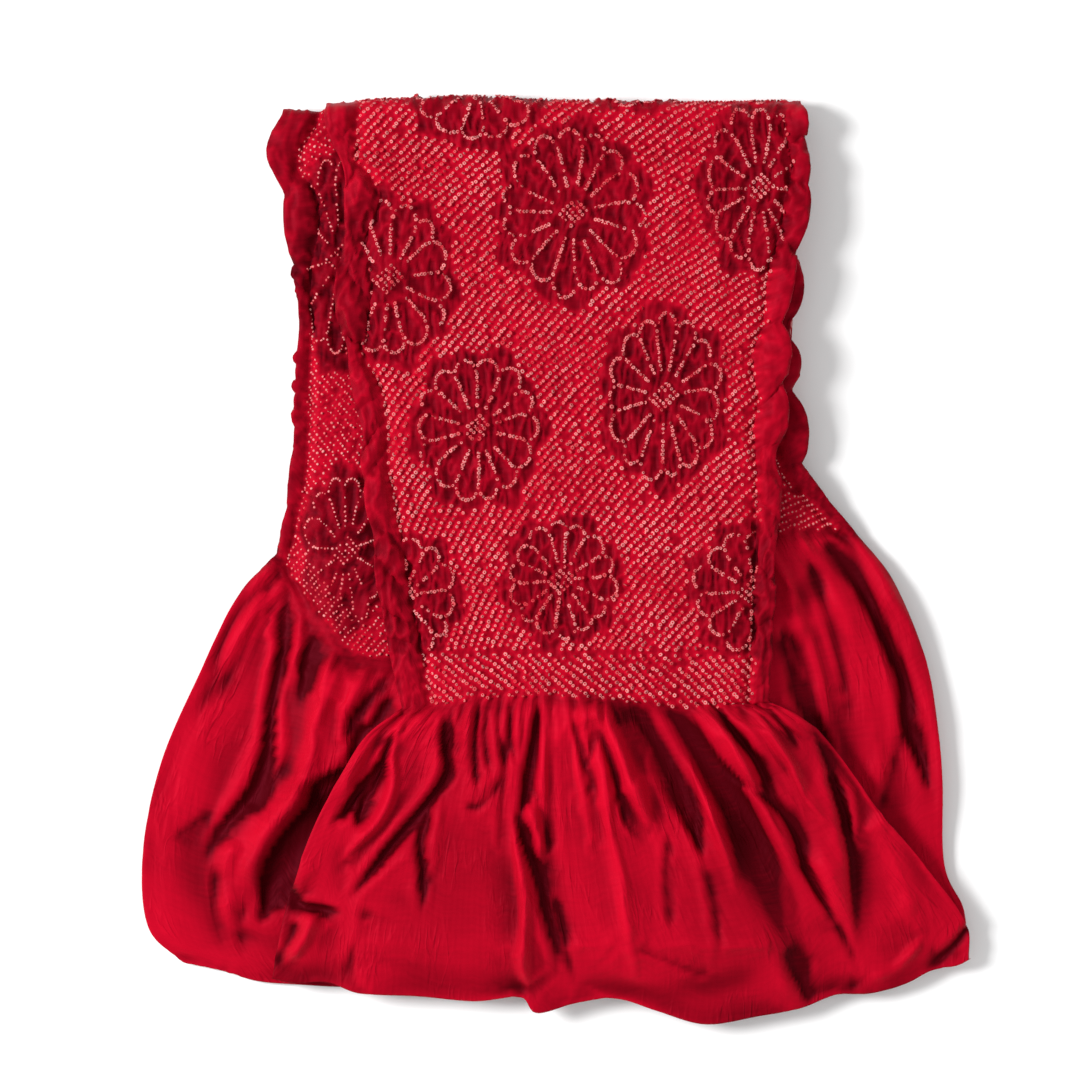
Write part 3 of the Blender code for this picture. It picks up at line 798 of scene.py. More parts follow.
def pressed(end, points, top):
    """The end with its main creases in their full sharpness, and the cloth between them rounded up, but
    nowhere under what it lies on. The second result is how deep each place lies in a crease."""
    tail = points[-end.tail_rows - 1 :]
    plan = tail[..., :2]
    run = run_along(plan)
    left = np.linalg.norm(plan - plan[:, :1], axis=2)
    right = np.linalg.norm(plan - plan[:, -1:], axis=2)
    edges = smooth_step(np.minimum(left, right), 0, EDGE_ROOM) * smooth_step(run[-1] - run, 0, EDGE_ROOM)
    share = smooth_step(run, 0, BODY_STARTS) * (EDGE_SHARE + (1 - EDGE_SHARE) * edges)
    under = felt(top, plan) + PLAIN_THICKNESS / 2
    room = np.log1p(np.exp(ROUNDING * (tail[..., 2] + BODY_RISE * share - under))) / ROUNDING
    folds = PRESSED * sum(crease_height(plan, crease) for crease in end.creases) * share
    tail[..., 2] = under + np.where(folds < 0, room * np.exp(np.minimum(folds, 0) / room), room + folds)
    depth = np.zeros(points.shape[:2])
    depth[-end.tail_rows - 1 :] = np.maximum(-folds, 0)
    return points, depth


def folded_end(end, top):
    """One end of the cloth, laid on top, settled and pressed: its points, how deep each place lies in a
    crease, its chart and how far it is tied."""
    middle, chart, tied, last = laid_end(end, top)
    middle = settled(middle, last, top, end)
    points, charts, ties = end_grid(end, middle, chart, tied, last)
    points, depth = pressed(end, points, top)
    return points, depth, charts, ties


def chart_tree(charts):
    """A search tree of the flat chart, which finds the square of the grid that a dot lies in."""
    places = with_height(charts, 0).reshape(-1, 3)
    return BVHTree.FromPolygons(places.tolist(), grid_faces(charts.shape))


def squares_under(tree, charts, spots):
    """The row and column of the grid's square at each spot of the chart, and which spots are on the cloth."""
    hits = [tree.ray_cast((x, y, 1), (0, 0, -1))[2] for x, y in spots]
    found = np.array([hit is not None for hit in hits])
    number = np.array([hit or 0 for hit in hits])
    return number // (charts.shape[1] - 1), number % (charts.shape[1] - 1), found


# A flower of tied dots: lines of dots part its petals, and an arc of dots closes each petal's tip.
Flower = namedtuple("Flower", "x y half_width half_height petals turn")
PETAL_ROOT = 0.33
PETAL_SHOULDER = 0.8
PETAL_DOT_PITCH = 1.35
PETAL_UNEVEN = 0.12
PETAL_BOW = 0.05
TIP_REACH = (0.94, 1.04)
TIP_ROUND = 0.6
TIP_OUT = 0.95
TIP_LENGTH = 1.35
LEAST_TIP_DOTS = 4
MISSED_DOTS = 0.1
HEART_ROWS = 5
HEART_PITCH = 1.5
HEART_ROW_GAP = 2.0
GROUND = 1.1
GROUND_EDGE = 0.06
GROUND_SWELL = 0.06
GROUND_NICK = 0.05
DOT_PITCH = 1.68
ROW_GAP = 2.75
ROW_ANGLE = 39
ROW_BEND = 0.003
ROW_BEND_START = 10
ROW_SWAY = 2.2
ROW_SWAY_LENGTH = 26
ROW_WAVER = 0.5
ROW_WAVER_LENGTHS = (8, 7)
REVERSE_ROW_ANGLE = -57
REVERSE_BAND_ANGLE = 27
REVERSE_SPREAD = 0.84
UNTIED_DOTS = 0.05
BAND_ANGLE = -46
JITTER = 0.17


def turned(spots, degrees):
    angle = math.radians(degrees)
    turn = np.array([[math.cos(angle), -math.sin(angle)], [math.sin(angle), math.cos(angle)]])
    return spots @ turn.T


def flower_dots(flower, chance):
    """The dots of one flower: its petals, and a heart of short slanting rows."""
    size = np.array([flower.half_width, flower.half_height])
    spots = []
    uneven = chance.uniform(-PETAL_UNEVEN, PETAL_UNEVEN, flower.petals)
    angles = 2 * math.pi * (np.arange(flower.petals) + uneven) / flower.petals
    angles = np.append(angles, angles[0] + 2 * math.pi) + math.radians(flower.turn)
    for first, second in zip(angles[:-1], angles[1:]):
        line = np.arange(PETAL_ROOT, PETAL_SHOULDER, PETAL_DOT_PITCH / size.mean())
        bow = first + chance.uniform(-PETAL_BOW, PETAL_BOW) * np.sin(line * math.pi)
        spots.append(np.column_stack([line * np.cos(bow), line * np.sin(bow)]) * size)
        reach = chance.uniform(*TIP_REACH)
        tip = (second - first) * TIP_OUT * size.mean() * TIP_LENGTH
        count = max(LEAST_TIP_DOTS, round(tip / PETAL_DOT_PITCH))
        share = np.linspace(0, 1, count + 1)[:-1]
        arc = first + (second - first) * share
        out = PETAL_SHOULDER + (reach - PETAL_SHOULDER) * np.sin(share * math.pi) ** TIP_ROUND
        spots.append(np.column_stack([out * np.cos(arc), out * np.sin(arc)]) * size)
    steps = np.arange(HEART_ROWS) - (HEART_ROWS - 1) / 2
    heart = np.stack(np.meshgrid(steps * HEART_PITCH, steps * HEART_ROW_GAP), axis=2).reshape(-1, 2)
    spots.append(turned(heart, BAND_ANGLE))
    spots = np.concatenate(spots)
    kept = chance.random(len(spots)) > MISSED_DOTS
    return spots[kept] + (flower.x, flower.y) + chance.normal(0, JITTER / 2, (kept.sum(), 2))


def in_ground(spots, flowers):
    """How far each spot lies inside the plain ground round a flower: 0 outside, 1 well inside."""
    inside = np.zeros(spots.shape[:-1])
    for flower in flowers:
        away = (spots - (flower.x, flower.y)) / (flower.half_width * GROUND, flower.half_height * GROUND)
        angle = np.arctan2(away[..., 1], away[..., 0])
        swell = GROUND_SWELL * np.cos(6 * angle + flower.turn)
        edge = 1 + swell + GROUND_NICK * np.sin(11 * angle - 2 * flower.turn)
        out = np.hypot(away[..., 0], away[..., 1]) / edge
        inside = np.maximum(inside, 1 - smooth_step(out, 1 - GROUND_EDGE, 1 + GROUND_EDGE))
    return inside


def row_dots(low, high, degrees, chance, spread=1.0):
    """Slanting rows of dots over a rectangle of the chart, with the slow waver of rows tied by eye."""
    middle = (np.array(low) + np.array(high)) / 2
    reach = np.linalg.norm(np.array(high) - low) / 2
    along = np.arange(-reach, reach, DOT_PITCH * spread)
    over = np.arange(-reach, reach, ROW_GAP * spread)
    spots = np.stack(np.meshgrid(along, over), axis=2)
    spots[1::2, :, 0] += DOT_PITCH * spread / 2
    x, y = spots[..., 0], spots[..., 1]
    steeper = np.minimum(x + ROW_BEND_START, 0) ** 2 * ROW_BEND
    waver = ROW_WAVER * np.sin(x / ROW_WAVER_LENGTHS[0] + y / ROW_WAVER_LENGTHS[1])
    spots[..., 1] += ROW_SWAY * np.sin(x / ROW_SWAY_LENGTH) + waver - steeper
    spots = turned(spots.reshape(-1, 2), degrees) + middle
    spots += chance.normal(0, JITTER, spots.shape)
    kept = np.all((spots > low) & (spots < high), axis=1) & (chance.random(len(spots)) > UNTIED_DOTS)
    return spots[kept]


WRINKLE_DEPTH = 0.0004


def silk_end_material(name):
    """Dyed silk for an end of the cloth. It reads from its mesh how bright each place is painted: painted shade
    in the hollows and creases, painted light where the silk stands high.
    """
    material, tree, shader, dyed, bump = silk_material(name, 0.0002, 0.5)
    # stands: how bright each place is painted, with painted shade in the hollows and painted light on the rises
    depth = add_node(tree, "Attribute", attribute_name="stands")
    tree.links.new(depth.outputs["Fac"], dyed.inputs["Depth"])
    tree.links.new(dyed.outputs["Colour"], shader.inputs["Base Color"])
    creases = add_node(tree, "Group", node_tree=FINE_CREASES)
    plain = add_node(tree, "Attribute", attribute_name="plain")
    creased = add_math(tree, "MULTIPLY", creases.outputs["Height"], plain.outputs["Fac"])
    wrinkled = add_node(tree, "Bump", {"Distance": WRINKLE_DEPTH, "Height": creased})
    tree.links.new(wrinkled.outputs["Normal"], bump.inputs["Normal"])
    return material


CONE_HEIGHT = 1.1
CONE_REACH = 1.0
PUCKER_HEIGHT = 1.35
PUCKER_WIDTH = 2.5
PUCKER_LENGTH = 7.5
PUCKER_SLICE = 0.3
CRINKLE = 0.35
CRINKLE_SIZE = 2.2
CRINKLE_SLICE = 7.7
BARELY_TIED = 0.02


def tied_relief(charts, ties, dots, ground):
    """The small relief of the tied length: a cone under each dot, and puckers where the ground is untied."""
    tree = kdtree.KDTree(len(dots))
    for number, (x, y) in enumerate(dots):
        tree.insert((x, y, 0), number)
    tree.balance()
    relief = np.zeros(charts.shape[:2])
    for row, column in zip(*np.nonzero(ties > BARELY_TIED)):
        x, y = charts[row, column]
        away = tree.find((x, y, 0))[2]
        cone = CONE_HEIGHT * math.exp(-((away / CONE_REACH) ** 2))
        fold = 1 - 2 * abs(noise.noise(Vector((x / PUCKER_WIDTH, y / PUCKER_LENGTH, PUCKER_SLICE))))
        crinkle = CRINKLE * noise.noise(Vector((x / CRINKLE_SIZE, y / CRINKLE_SIZE, CRINKLE_SLICE)))
        pucker = PUCKER_HEIGHT * max(fold, 0) ** 2
        relief[row, column] = cone + crinkle + ground[row, column] * pucker
    return relief * ties


# A ruffle of an untied margin, from the top fold down: its length along the selvedge, how high it stands, how
# far it swings outward, and how much of its height it keeps at the very edge.
Lobe = namedtuple("Lobe", "length rise swing edge")
GROOVE = 1.5
GROOVE_WIDTH = 2.2
NOTCH = 0.7
LOBE_SLANT = 1.3
LOBE_TURN = 17
LOBE_BACK = 1.5
LOBE_CROWN = 0.8

# How wide the untied margins are at some heights of the plan, on the left and on the right
Margin = namedtuple("Margin", "y left right")


def margin_widths(margins, y):
    """The widths of the left and the right untied margin at each height."""
    heights, left, right = np.array(margins, dtype=float).T
    return np.interp(y, heights, left), np.interp(y, heights, right)


def ruffled(charts, lobes, side, width, ties):
    """How far one margin rises and swings outward. Its lobes are rounded, and pinched where they meet."""
    edge = 0 if side < 0 else -1
    inside = np.linalg.norm(charts - charts[:, edge][:, None], axis=2) / width
    slant = LOBE_SLANT * width * inside * np.sin(charts[..., 1] / LOBE_TURN + side)
    run = run_along(charts)[:, edge][:, None] + slant
    ends = np.cumsum([lobe.length for lobe in lobes])
    rise = np.zeros(charts.shape[:2])
    swing = np.zeros(charts.shape[:2])
    closed = np.sin(math.pi * np.clip(inside, 0, 1) ** LOBE_BACK) ** LOBE_CROWN
    open_edge = 1 - smooth_step(inside, 0, 1)
    for lobe, end in zip(lobes, ends):
        share = np.clip((run - end + lobe.length) / lobe.length, 0, 1)
        rounded = np.sin(math.pi * share) ** NOTCH
        rise += lobe.rise * rounded * ((1 - lobe.edge) * closed + lobe.edge * open_edge)
        swing += lobe.swing * rounded * open_edge
    groove = GROOVE * np.exp(-(((inside - 1) * width / GROOVE_WIDTH) ** 2))
    return (rise - groove) * ties, side * swing * ties


EDGE_DRAWN_IN = 0.35
EDGE_TURNED_DOWN = 0.45


def with_rolled_edges(points, normals):
    """The selvedges and the hem drawn in and turned down a little, as a woven edge curls."""
    rolled = points.copy()
    every = slice(None)
    for edge, inner in (((every, 0), (every, 2)), ((every, -1), (every, -3)), (-1, -3)):
        drawn_in = points[inner] * EDGE_DRAWN_IN + points[edge] * (1 - EDGE_DRAWN_IN)
        rolled[edge] = drawn_in - normals[edge] * EDGE_TURNED_DOWN
    return rolled


RUFFLE_REACHES_IN = 2
MARGIN_BLEND = 2
MARGIN_PUCKER = 0.55
HOLLOW_PASSES = 120
HOLLOW_DEPTH = 2.0
PATCH_SIZE = 34
PATCH_SLICE = 4.4
PLAIN_TONE = 0.62
PLAIN_DRIFT = 0.12
RAISED_PAINTED_LIGHT = 0.15
SUNK_PAINTED_SHADE = 0.95
TIED_EVENS_OUT = 0.75
CREASE_SHADE = 0.035
TIP_PAINTED_LIGHT = 0.45
TIP_IN_GROUND = 0.6
GROUND_PAINTED_SHADE = 0.26
# Patches of the plain silk painted brighter as light or darker as shade; the two small deep ones are painted
# shadows beside the front length: a place of the plan, its reach, and how much brighter
PaintedPatch = namedtuple("PaintedPatch", "x y reach tone")
PAINTED_LIGHT_AND_SHADE = (
    PaintedPatch(12, -72, 20, 0.12),
    PaintedPatch(20, -112, 24, 0.08),
    PaintedPatch(-40, -122, 30, -0.13),
    PaintedPatch(62, -136, 26, -0.16),
    PaintedPatch(104, -70, 14, -0.1),
    PaintedPatch(118, -44, 18, 0.06),
    PaintedPatch(-140, -108, 24, -0.1),
    PaintedPatch(-107, -119, 9, -0.4),
    PaintedPatch(-88, -30, 8, -0.3),
)


def dye_and_painted_shade_of(end, heights, charts, ties, ground, relief, depth):
    """How bright the silk is painted at each place, from 0 in the deepest hollow to 1 where the silk stands
    high: painted shade in hollows, creases, puckered grounds and the darker patches, painted light on high
    places, dot tips and the brighter patches, over the plain silk's random drift of dye.
    """
    # How far each place stands above or sinks below the silk around it, for the painted light and shade of the
    # folds
    around = heights
    for _ in range(HOLLOW_PASSES):
        around = smoothed(around)
    lifted = np.tanh((heights - around) / HOLLOW_DEPTH)
    places = charts.reshape(-1, 2)
    drift = np.array([noise.noise(Vector((x / PATCH_SIZE, y / PATCH_SIZE, PATCH_SLICE))) for x, y in places])
    plain = PLAIN_TONE + PLAIN_DRIFT * drift.reshape(ties.shape)
    # Painted patches of light and shade
    for patch in PAINTED_LIGHT_AND_SHADE:
        away = np.hypot(charts[..., 0] - patch.x, charts[..., 1] - patch.y) / patch.reach
        plain += patch.tone * np.exp(-(away**2))
    # Painted light on the tips of the dots, and painted shade in the puckered grounds of the flowers and
    # margins
    tips = np.minimum(relief / CONE_HEIGHT, 1) * (1 - TIP_IN_GROUND * ground)
    tied = end.tied_tone + TIP_PAINTED_LIGHT * tips - GROUND_PAINTED_SHADE * ground
    # Painted light on raised places and painted shade in hollows and creases, weaker on tied cloth
    folds = RAISED_PAINTED_LIGHT * np.maximum(lifted, 0) + SUNK_PAINTED_SHADE * np.minimum(lifted, 0)
    folds = folds * (1 - TIED_EVENS_OUT * ties) - CREASE_SHADE * depth
    return np.clip(ties * tied + (1 - ties) * plain + folds, 0, 1)


def finished_end(end, points, depth, charts, ties, dots):
    """The end of the cloth as a mesh, with the small relief of its dots, its ruffles, and its dye with painted
    light and shade.
    """
    points = points.copy()
    left_width, right_width = margin_widths(end.margins, charts[..., 1])
    for lobes, side, width in zip(end.ruffles, (-1, 1), (left_width, right_width)):
        rise, swing = ruffled(charts, lobes, side, width + RUFFLE_REACHES_IN, ties)
        points[..., 2] += rise
        points[..., 0] += swing
    run = run_along(points)
    left = np.linalg.norm(charts - charts[:, :1], axis=2)
    right = np.linalg.norm(charts - charts[:, -1:], axis=2)
    near_edge = np.minimum(left - left_width, right - right_width)
    in_margin = 1 - smooth_step(near_edge, -MARGIN_BLEND, 0)
    ground = np.maximum(in_ground(charts, end.flowers), in_margin * MARGIN_PUCKER)
    relief = tied_relief(charts, ties, dots, ground)
    normals = normals_of(points)
    final = with_rolled_edges(points + normals * relief[..., None], normals)
    across = np.linspace(0, CLOTH_WIDTH, points.shape[1])[None]
    flat = np.stack([np.broadcast_to(across, run.shape), run], axis=2)
    piece = cloth_grid(end.name, final[::-1], flat[::-1])
    # stands: the painted light and shade of each place, with the plain silk's drift of dye
    stands = dye_and_painted_shade_of(end, final[..., 2], charts, ties, ground, relief, depth)
    vertex_values(piece, "stands", stands[::-1])
    vertex_values(piece, "plain", (1 - ties)[::-1])
    piece.data.materials.append(silk_end_material(end.name.replace("_", " ")))
    return piece, final, normals


BACK_FLOWERS = (
    Flower(-81, 112, 16, 38, 12, 4),
    Flower(-79, 3, 15, 28, 13, 9),
)
BACK_MARGINS = (
    Margin(-70, 6, 7),
    Margin(100, 3.5, 7),
    Margin(112, 5, 7),
    Margin(122, 9, 7),
    Margin(135, 10, 7),
    Margin(144, 7, 7),
    Margin(160, 12, 7),
    Margin(200, 12, 7),
)
BACK_LEFT_RUFFLES = (
    Lobe(13, 0, 0, 0),
    Lobe(32, 3.6, 2.2, 0.3),
    Lobe(26, 2.6, 2.6, 0.5),
    Lobe(5, 1.4, 2.2, 0.3),
    Lobe(5, 1.2, 0.6, 0.3),
    Lobe(22, 1.8, -0.6, 0.3),
    Lobe(5, 1.6, 1.8, 0.5),
    Lobe(6, 1.2, 0.6, 0.3),
    Lobe(5, 1.6, 2, 0.5),
    Lobe(7, 1.4, 0.8, 0.3),
    Lobe(5, 1.8, 1.8, 0.5),
    Lobe(9, 1.6, 0.4, 0.3),
    Lobe(21, 2.4, 1.4, 0.5),
    Lobe(14, 1.8, 0.6, 0.3),
    Lobe(30, 2, 0.8, 0.2),
)
BACK_RIGHT_RUFFLES = (
    Lobe(30, 0, 0, 0),
    Lobe(36, 1.4, 0.5, 0.3),
    Lobe(22, 3.8, 4.4, 0.6),
    Lobe(8, 0.8, -0.8, 0.2),
    Lobe(16, 3.4, 3.8, 0.5),
    Lobe(3, 0, -0.6, 0),
    Lobe(27, 4, 6, 0.5),
    Lobe(18, 2, 1, 0.3),
)
BACK_BAND = 15
BAND_GAP = 1.6
BAND_CLEAR = 0.5
BARE_GROUND = 0.3
# The dots are tied only where the front length leaves the back one in view, and a little further in
BACK_SHOWN = (-58, 62)
MARGIN_WAVER = 0.8
MARGIN_WAVER_LENGTHS = (5, 13)
WELL_TIED = 0.9


def above_line(spots, line):
    """How far each spot lies above a line across the cloth."""
    x, y = np.array(line).T
    return spots[:, 1] - np.interp(spots[:, 0], x, y)


def back_dots_places():
    chance = np.random.default_rng(12)
    gather = BACK_PANEL[-1].points
    rows = row_dots((-115, -45), (105, 195), REVERSE_ROW_ANGLE, chance, REVERSE_SPREAD)
    band = row_dots((-115, -45), (120, 40), REVERSE_BAND_ANGLE, chance, REVERSE_SPREAD)
    flowers = np.concatenate([flower_dots(flower, chance) for flower in BACK_FLOWERS])
    in_field = above_line(rows, gather) > BACK_BAND + BAND_GAP
    rows = rows[in_field & (in_ground(rows, BACK_FLOWERS) < BARE_GROUND)]
    above_gather = above_line(band, gather)
    band = band[(above_gather > BAND_CLEAR) & (above_gather < BACK_BAND)]
    flowers = flowers[above_line(flowers, gather) > BACK_BAND]
    spots = np.concatenate([rows, band, flowers])
    shown = (spots[:, 0] < BACK_SHOWN[0]) | (spots[:, 0] > BACK_SHOWN[1])
    return spots[shown]


def on_cloth(spots, charts, ties, margins):
    """The dots that lie on the tied cloth inside its untied margins, with their squares of the grid."""
    rows, columns, found = squares_under(chart_tree(charts), charts, spots)
    left = np.linalg.norm(charts[rows, columns] - charts[rows, 0], axis=1)
    right = np.linalg.norm(charts[rows, columns] - charts[rows, -1], axis=1)
    short, long = MARGIN_WAVER_LENGTHS
    uneven = MARGIN_WAVER * (1 + np.sin(spots[:, 1] / short + np.sin(spots[:, 1] / long)))
    left_width, right_width = margin_widths(margins, spots[:, 1])
    inside = (left > left_width + uneven) & (right > right_width + uneven)
    kept = found & inside & (ties[rows, columns] > WELL_TIED)
    return spots[kept], rows[kept], columns[kept]


BACK = End(
    name="back_end",
    panel=BACK_PANEL,
    tail=BACK_TAIL,
    creases=BACK_CREASES,
    radius=INNER_FOLD_RADIUS,
    layer_z=INNER_Z,
    gap=LAYER_GAP,
    seed=3,
    fullness=(1.6, 1.25),
    panel_rows=190,
    tail_rows=130,
    columns=190,
    behind=BEHIND_INNER_FOLD,
    behind_step=1.0,
    flowers=BACK_FLOWERS,
    margins=BACK_MARGINS,
    ruffles=(BACK_LEFT_RUFFLES, BACK_RIGHT_RUFFLES),
    tied_tone=0.36,
)
FELT_ROWS = 700
FELT_COLUMNS = 200

hidden_top = hidden_points.copy()
hidden_top[..., 2] = np.minimum(hidden_top[..., 2], INNER_Z) + TIED_THICKNESS / 2
hidden_top = finer(hidden_top, np.linspace(0, 1, FELT_ROWS), FELT_COLUMNS)
back_points, back_depth, back_charts, back_ties = folded_end(BACK, top_map(hidden_top))
back_placed = on_cloth(back_dots_places(), back_charts, back_ties, BACK_MARGINS)
back_end, back_final, back_normals = finished_end(
    BACK, back_points, back_depth, back_charts, back_ties, back_placed[0]
)
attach(back_end, "root")
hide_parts("obiage")


# The tied dots. Each was pinched up and bound with thread before the dyeing, so the dye left a small pale ring,
# which still stands up as a hollow tip when the thread is pulled out. The dots of each end are one mesh, made
# from one shaped dot that is set down at every place.

DOT_SIDES = 6
DOT_RADIUS = 0.9
DOT_RIM = 0.58
DOT_RISE = 0.5
DOT_MOUTH = 0.36
DOT_SINK = 0.35
DOT_TILT = 0.36
DOT_LEAN = 0.1
DOT_SIZES = (0.72, 1.14)
DOT_WIDTHS = (0.85, 1.1)
DOT_LENGTHS = (0.9, 1.15)
DOT_BEDDED = 0.15
# How far the dots' red is painted toward the lit colour, as painted light on the raised dots
DOT_PAINTED_LIGHT = 0.75
REVERSE_SINK = -0.1
OPEN_MOUTH_PALE = 0.1
FILLED_MOUTH_PALE = 0.8
FOOT_PALE = 0.1
PALE_SPREAD = (2.6, 1.5)
PALE_PATCH = 22
PALE_DRIFT = 0.5
LEAST_PALE = 0.15


def one_dot(sink):
    """One dot: its corners, its faces and how pale each corner is. A low sink fills the tip."""
    bpy.ops.object.select_all(action="DESELECT")
    bpy.ops.mesh.primitive_circle_add(
        vertices=DOT_SIDES, radius=DOT_RADIUS, fill_type="NGON", location=(0, 0, 0)
    )
    dot = bpy.context.object
    bpy.ops.object.mode_set(mode="EDIT")
    bpy.ops.mesh.select_all(action="SELECT")
    bpy.ops.mesh.inset(thickness=DOT_RADIUS - DOT_RIM)
    bpy.ops.transform.translate(value=(0, 0, DOT_RISE))
    bpy.ops.mesh.inset(thickness=DOT_RIM - DOT_MOUTH)
    bpy.ops.transform.translate(value=(0, 0, -sink))
    bpy.ops.object.mode_set(mode="OBJECT")
    corners = np.array([vertex.co for vertex in dot.data.vertices])
    faces = [tuple(face.vertices) for face in dot.data.polygons]
    out = np.hypot(corners[:, 0], corners[:, 1])
    mouth = OPEN_MOUTH_PALE if sink > 0 else FILLED_MOUTH_PALE
    pale = np.interp(out, (DOT_MOUTH, DOT_RIM, DOT_RADIUS), (mouth, 1, FOOT_PALE))
    bpy.data.meshes.remove(dot.data)
    return corners, faces, pale


def dot_material(name):
    """Dyed silk that reads from its mesh how pale each corner of a dot is, its red painted toward the lit
    colour as painted light on the raised dots.
    """
    material, tree, shader, dyed, _ = silk_material(name, 0.0001, 0.4)
    dyed.inputs["Depth"].default_value = DOT_PAINTED_LIGHT
    pale = add_node(tree, "Attribute", attribute_name="pale")
    colour = mixed(tree, pale.outputs["Fac"], dyed.outputs["Colour"], PALE_DOT)
    tree.links.new(colour, shader.inputs["Base Color"])
    return material


def unit(directions):
    return directions / np.linalg.norm(directions, axis=1, keepdims=True)


def tied_dots(name, placed, charts, final, normals, seed, sink, size, paleness):
    """Every dot of an end as one mesh. A low sink and less paleness give the cloth's reverse."""
    spots, rows, columns = placed
    chance = np.random.default_rng(seed)
    corners, faces, pale = one_dot(sink)
    count = len(spots)
    places = np.empty((count, 3))
    for number, (spot, row, column) in enumerate(zip(spots, rows, columns)):
        square = ((row, column), (row, column + 1), (row + 1, column))
        flat = [Vector((*charts[corner], 0)) for corner in square]
        lying = [Vector(final[corner]) for corner in square]
        places[number] = geometry.barycentric_transform(Vector((*spot, 0)), *flat, *lying)
    up = unit(normals[rows, columns] + chance.normal(0, DOT_TILT, (count, 3)))
    angle = chance.uniform(0, 2 * math.pi, count)
    around = np.column_stack([np.cos(angle), np.sin(angle), np.full(count, DOT_LEAN)])
    sideways = unit(np.cross(up, around))
    frames = np.stack([sideways, np.cross(up, sideways), up], axis=1)
    sizes = size * chance.uniform(*DOT_SIZES, (count, 1, 1))
    widths = chance.uniform(*DOT_WIDTHS, count)
    lengths = chance.uniform(*DOT_LENGTHS, count)
    stretch = np.stack([widths, lengths, np.ones(count)], axis=1)
    shaped = corners[None] * sizes * stretch[:, None]
    points = places[:, None] + np.einsum("nij,njk->nik", shaped, frames) - up[:, None] * DOT_BEDDED
    mesh = bpy.data.meshes.new(name)
    starts = np.arange(count) * len(corners)
    all_faces = [tuple(start + index for index in face) for start in starts for face in faces]
    mesh.from_pydata((points.reshape(-1, 3) * MM).tolist(), [], all_faces)
    mesh.shade_smooth()
    piece = bpy.data.objects.new(name, mesh)
    bpy.context.scene.collection.objects.link(piece)
    drift = np.array([noise.noise(Vector((x / PALE_PATCH, y / PALE_PATCH, seed))) for x, y in spots])
    strength = np.clip(chance.beta(*PALE_SPREAD, count) + PALE_DRIFT * drift, LEAST_PALE, 1)
    vertex_values(piece, "pale", pale[None] * paleness * strength[:, None])
    mesh.materials.append(dot_material(name.replace("_", " ")))
    return piece


back_dots = tied_dots(
    "back_dots",
    back_placed,
    back_charts,
    back_final,
    back_normals,
    seed=31,
    sink=REVERSE_SINK,
    size=0.64,
    paleness=0.72,
)
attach(back_dots, "root")


# The front end. It is the cloth's right side: tied rows with chrysanthemums in their own ground, a band of rows
# that slant the other way, and the plain tail that fans out from the gathers. Its margins were never tied, so
# they are too long for the drawn-in cloth between them and stand up in ruffles.

FRONT_PANEL = (
    Station("outer fold", 6, OUTER_FOLD),
    Station("shoulder", 6, ((-79.7, 134.4), (5.4, 134.4), (93.4, 134.4))),
    Station("upper flowers", 6, ((-82.3, 96.9), (3.9, 96.9), (84.6, 96.9))),
    Station("waist", 6, ((-76, 59.4), (5.4, 59.4), (83.4, 59.4))),
    Station("lower flowers", 6, ((-71.4, 21.9), (6.2, 21.9), (83.4, 21.9))),
    Station("last flowers", 7, ((-66.2, -17.4), (6.9, -15.6), (80.8, -15.6))),
    Station("gather", 0, ((-58.5, -55.5), (-18, -49), (12, -49.5), (45, -53), (79, -53.2))),
)
FRONT_TAIL = (
    Station("gather", 6, FRONT_PANEL[-1].points),
    Station("below gather", 7, ((-73, -67), (5.5, -75.5), (95.4, -61.5))),
    Station("half way", 7, ((-86.5, -90), (8.5, -103.5), (116.4, -89))),
    Station("spread", 6, ((-96, -111), (15, -131.5), (136.7, -113.8))),
    Station("above hem", 5, ((-103.5, -136), (20, -152), (152.8, -135))),
    Station("hem", 0, (
        (-107.5, -157.5), (-98, -159.4), (-86, -158.8), (-74, -163), (-52, -164), (-31, -165.7),
        (-14, -164), (-8, -170.5), (7, -166.3), (22, -164.5), (37, -169.5), (55, -175), (75, -172),
        (91, -169), (104, -164), (117, -163.8), (130, -160), (140, -154.5), (149, -152.8), (154.4, -150),
    )),
)
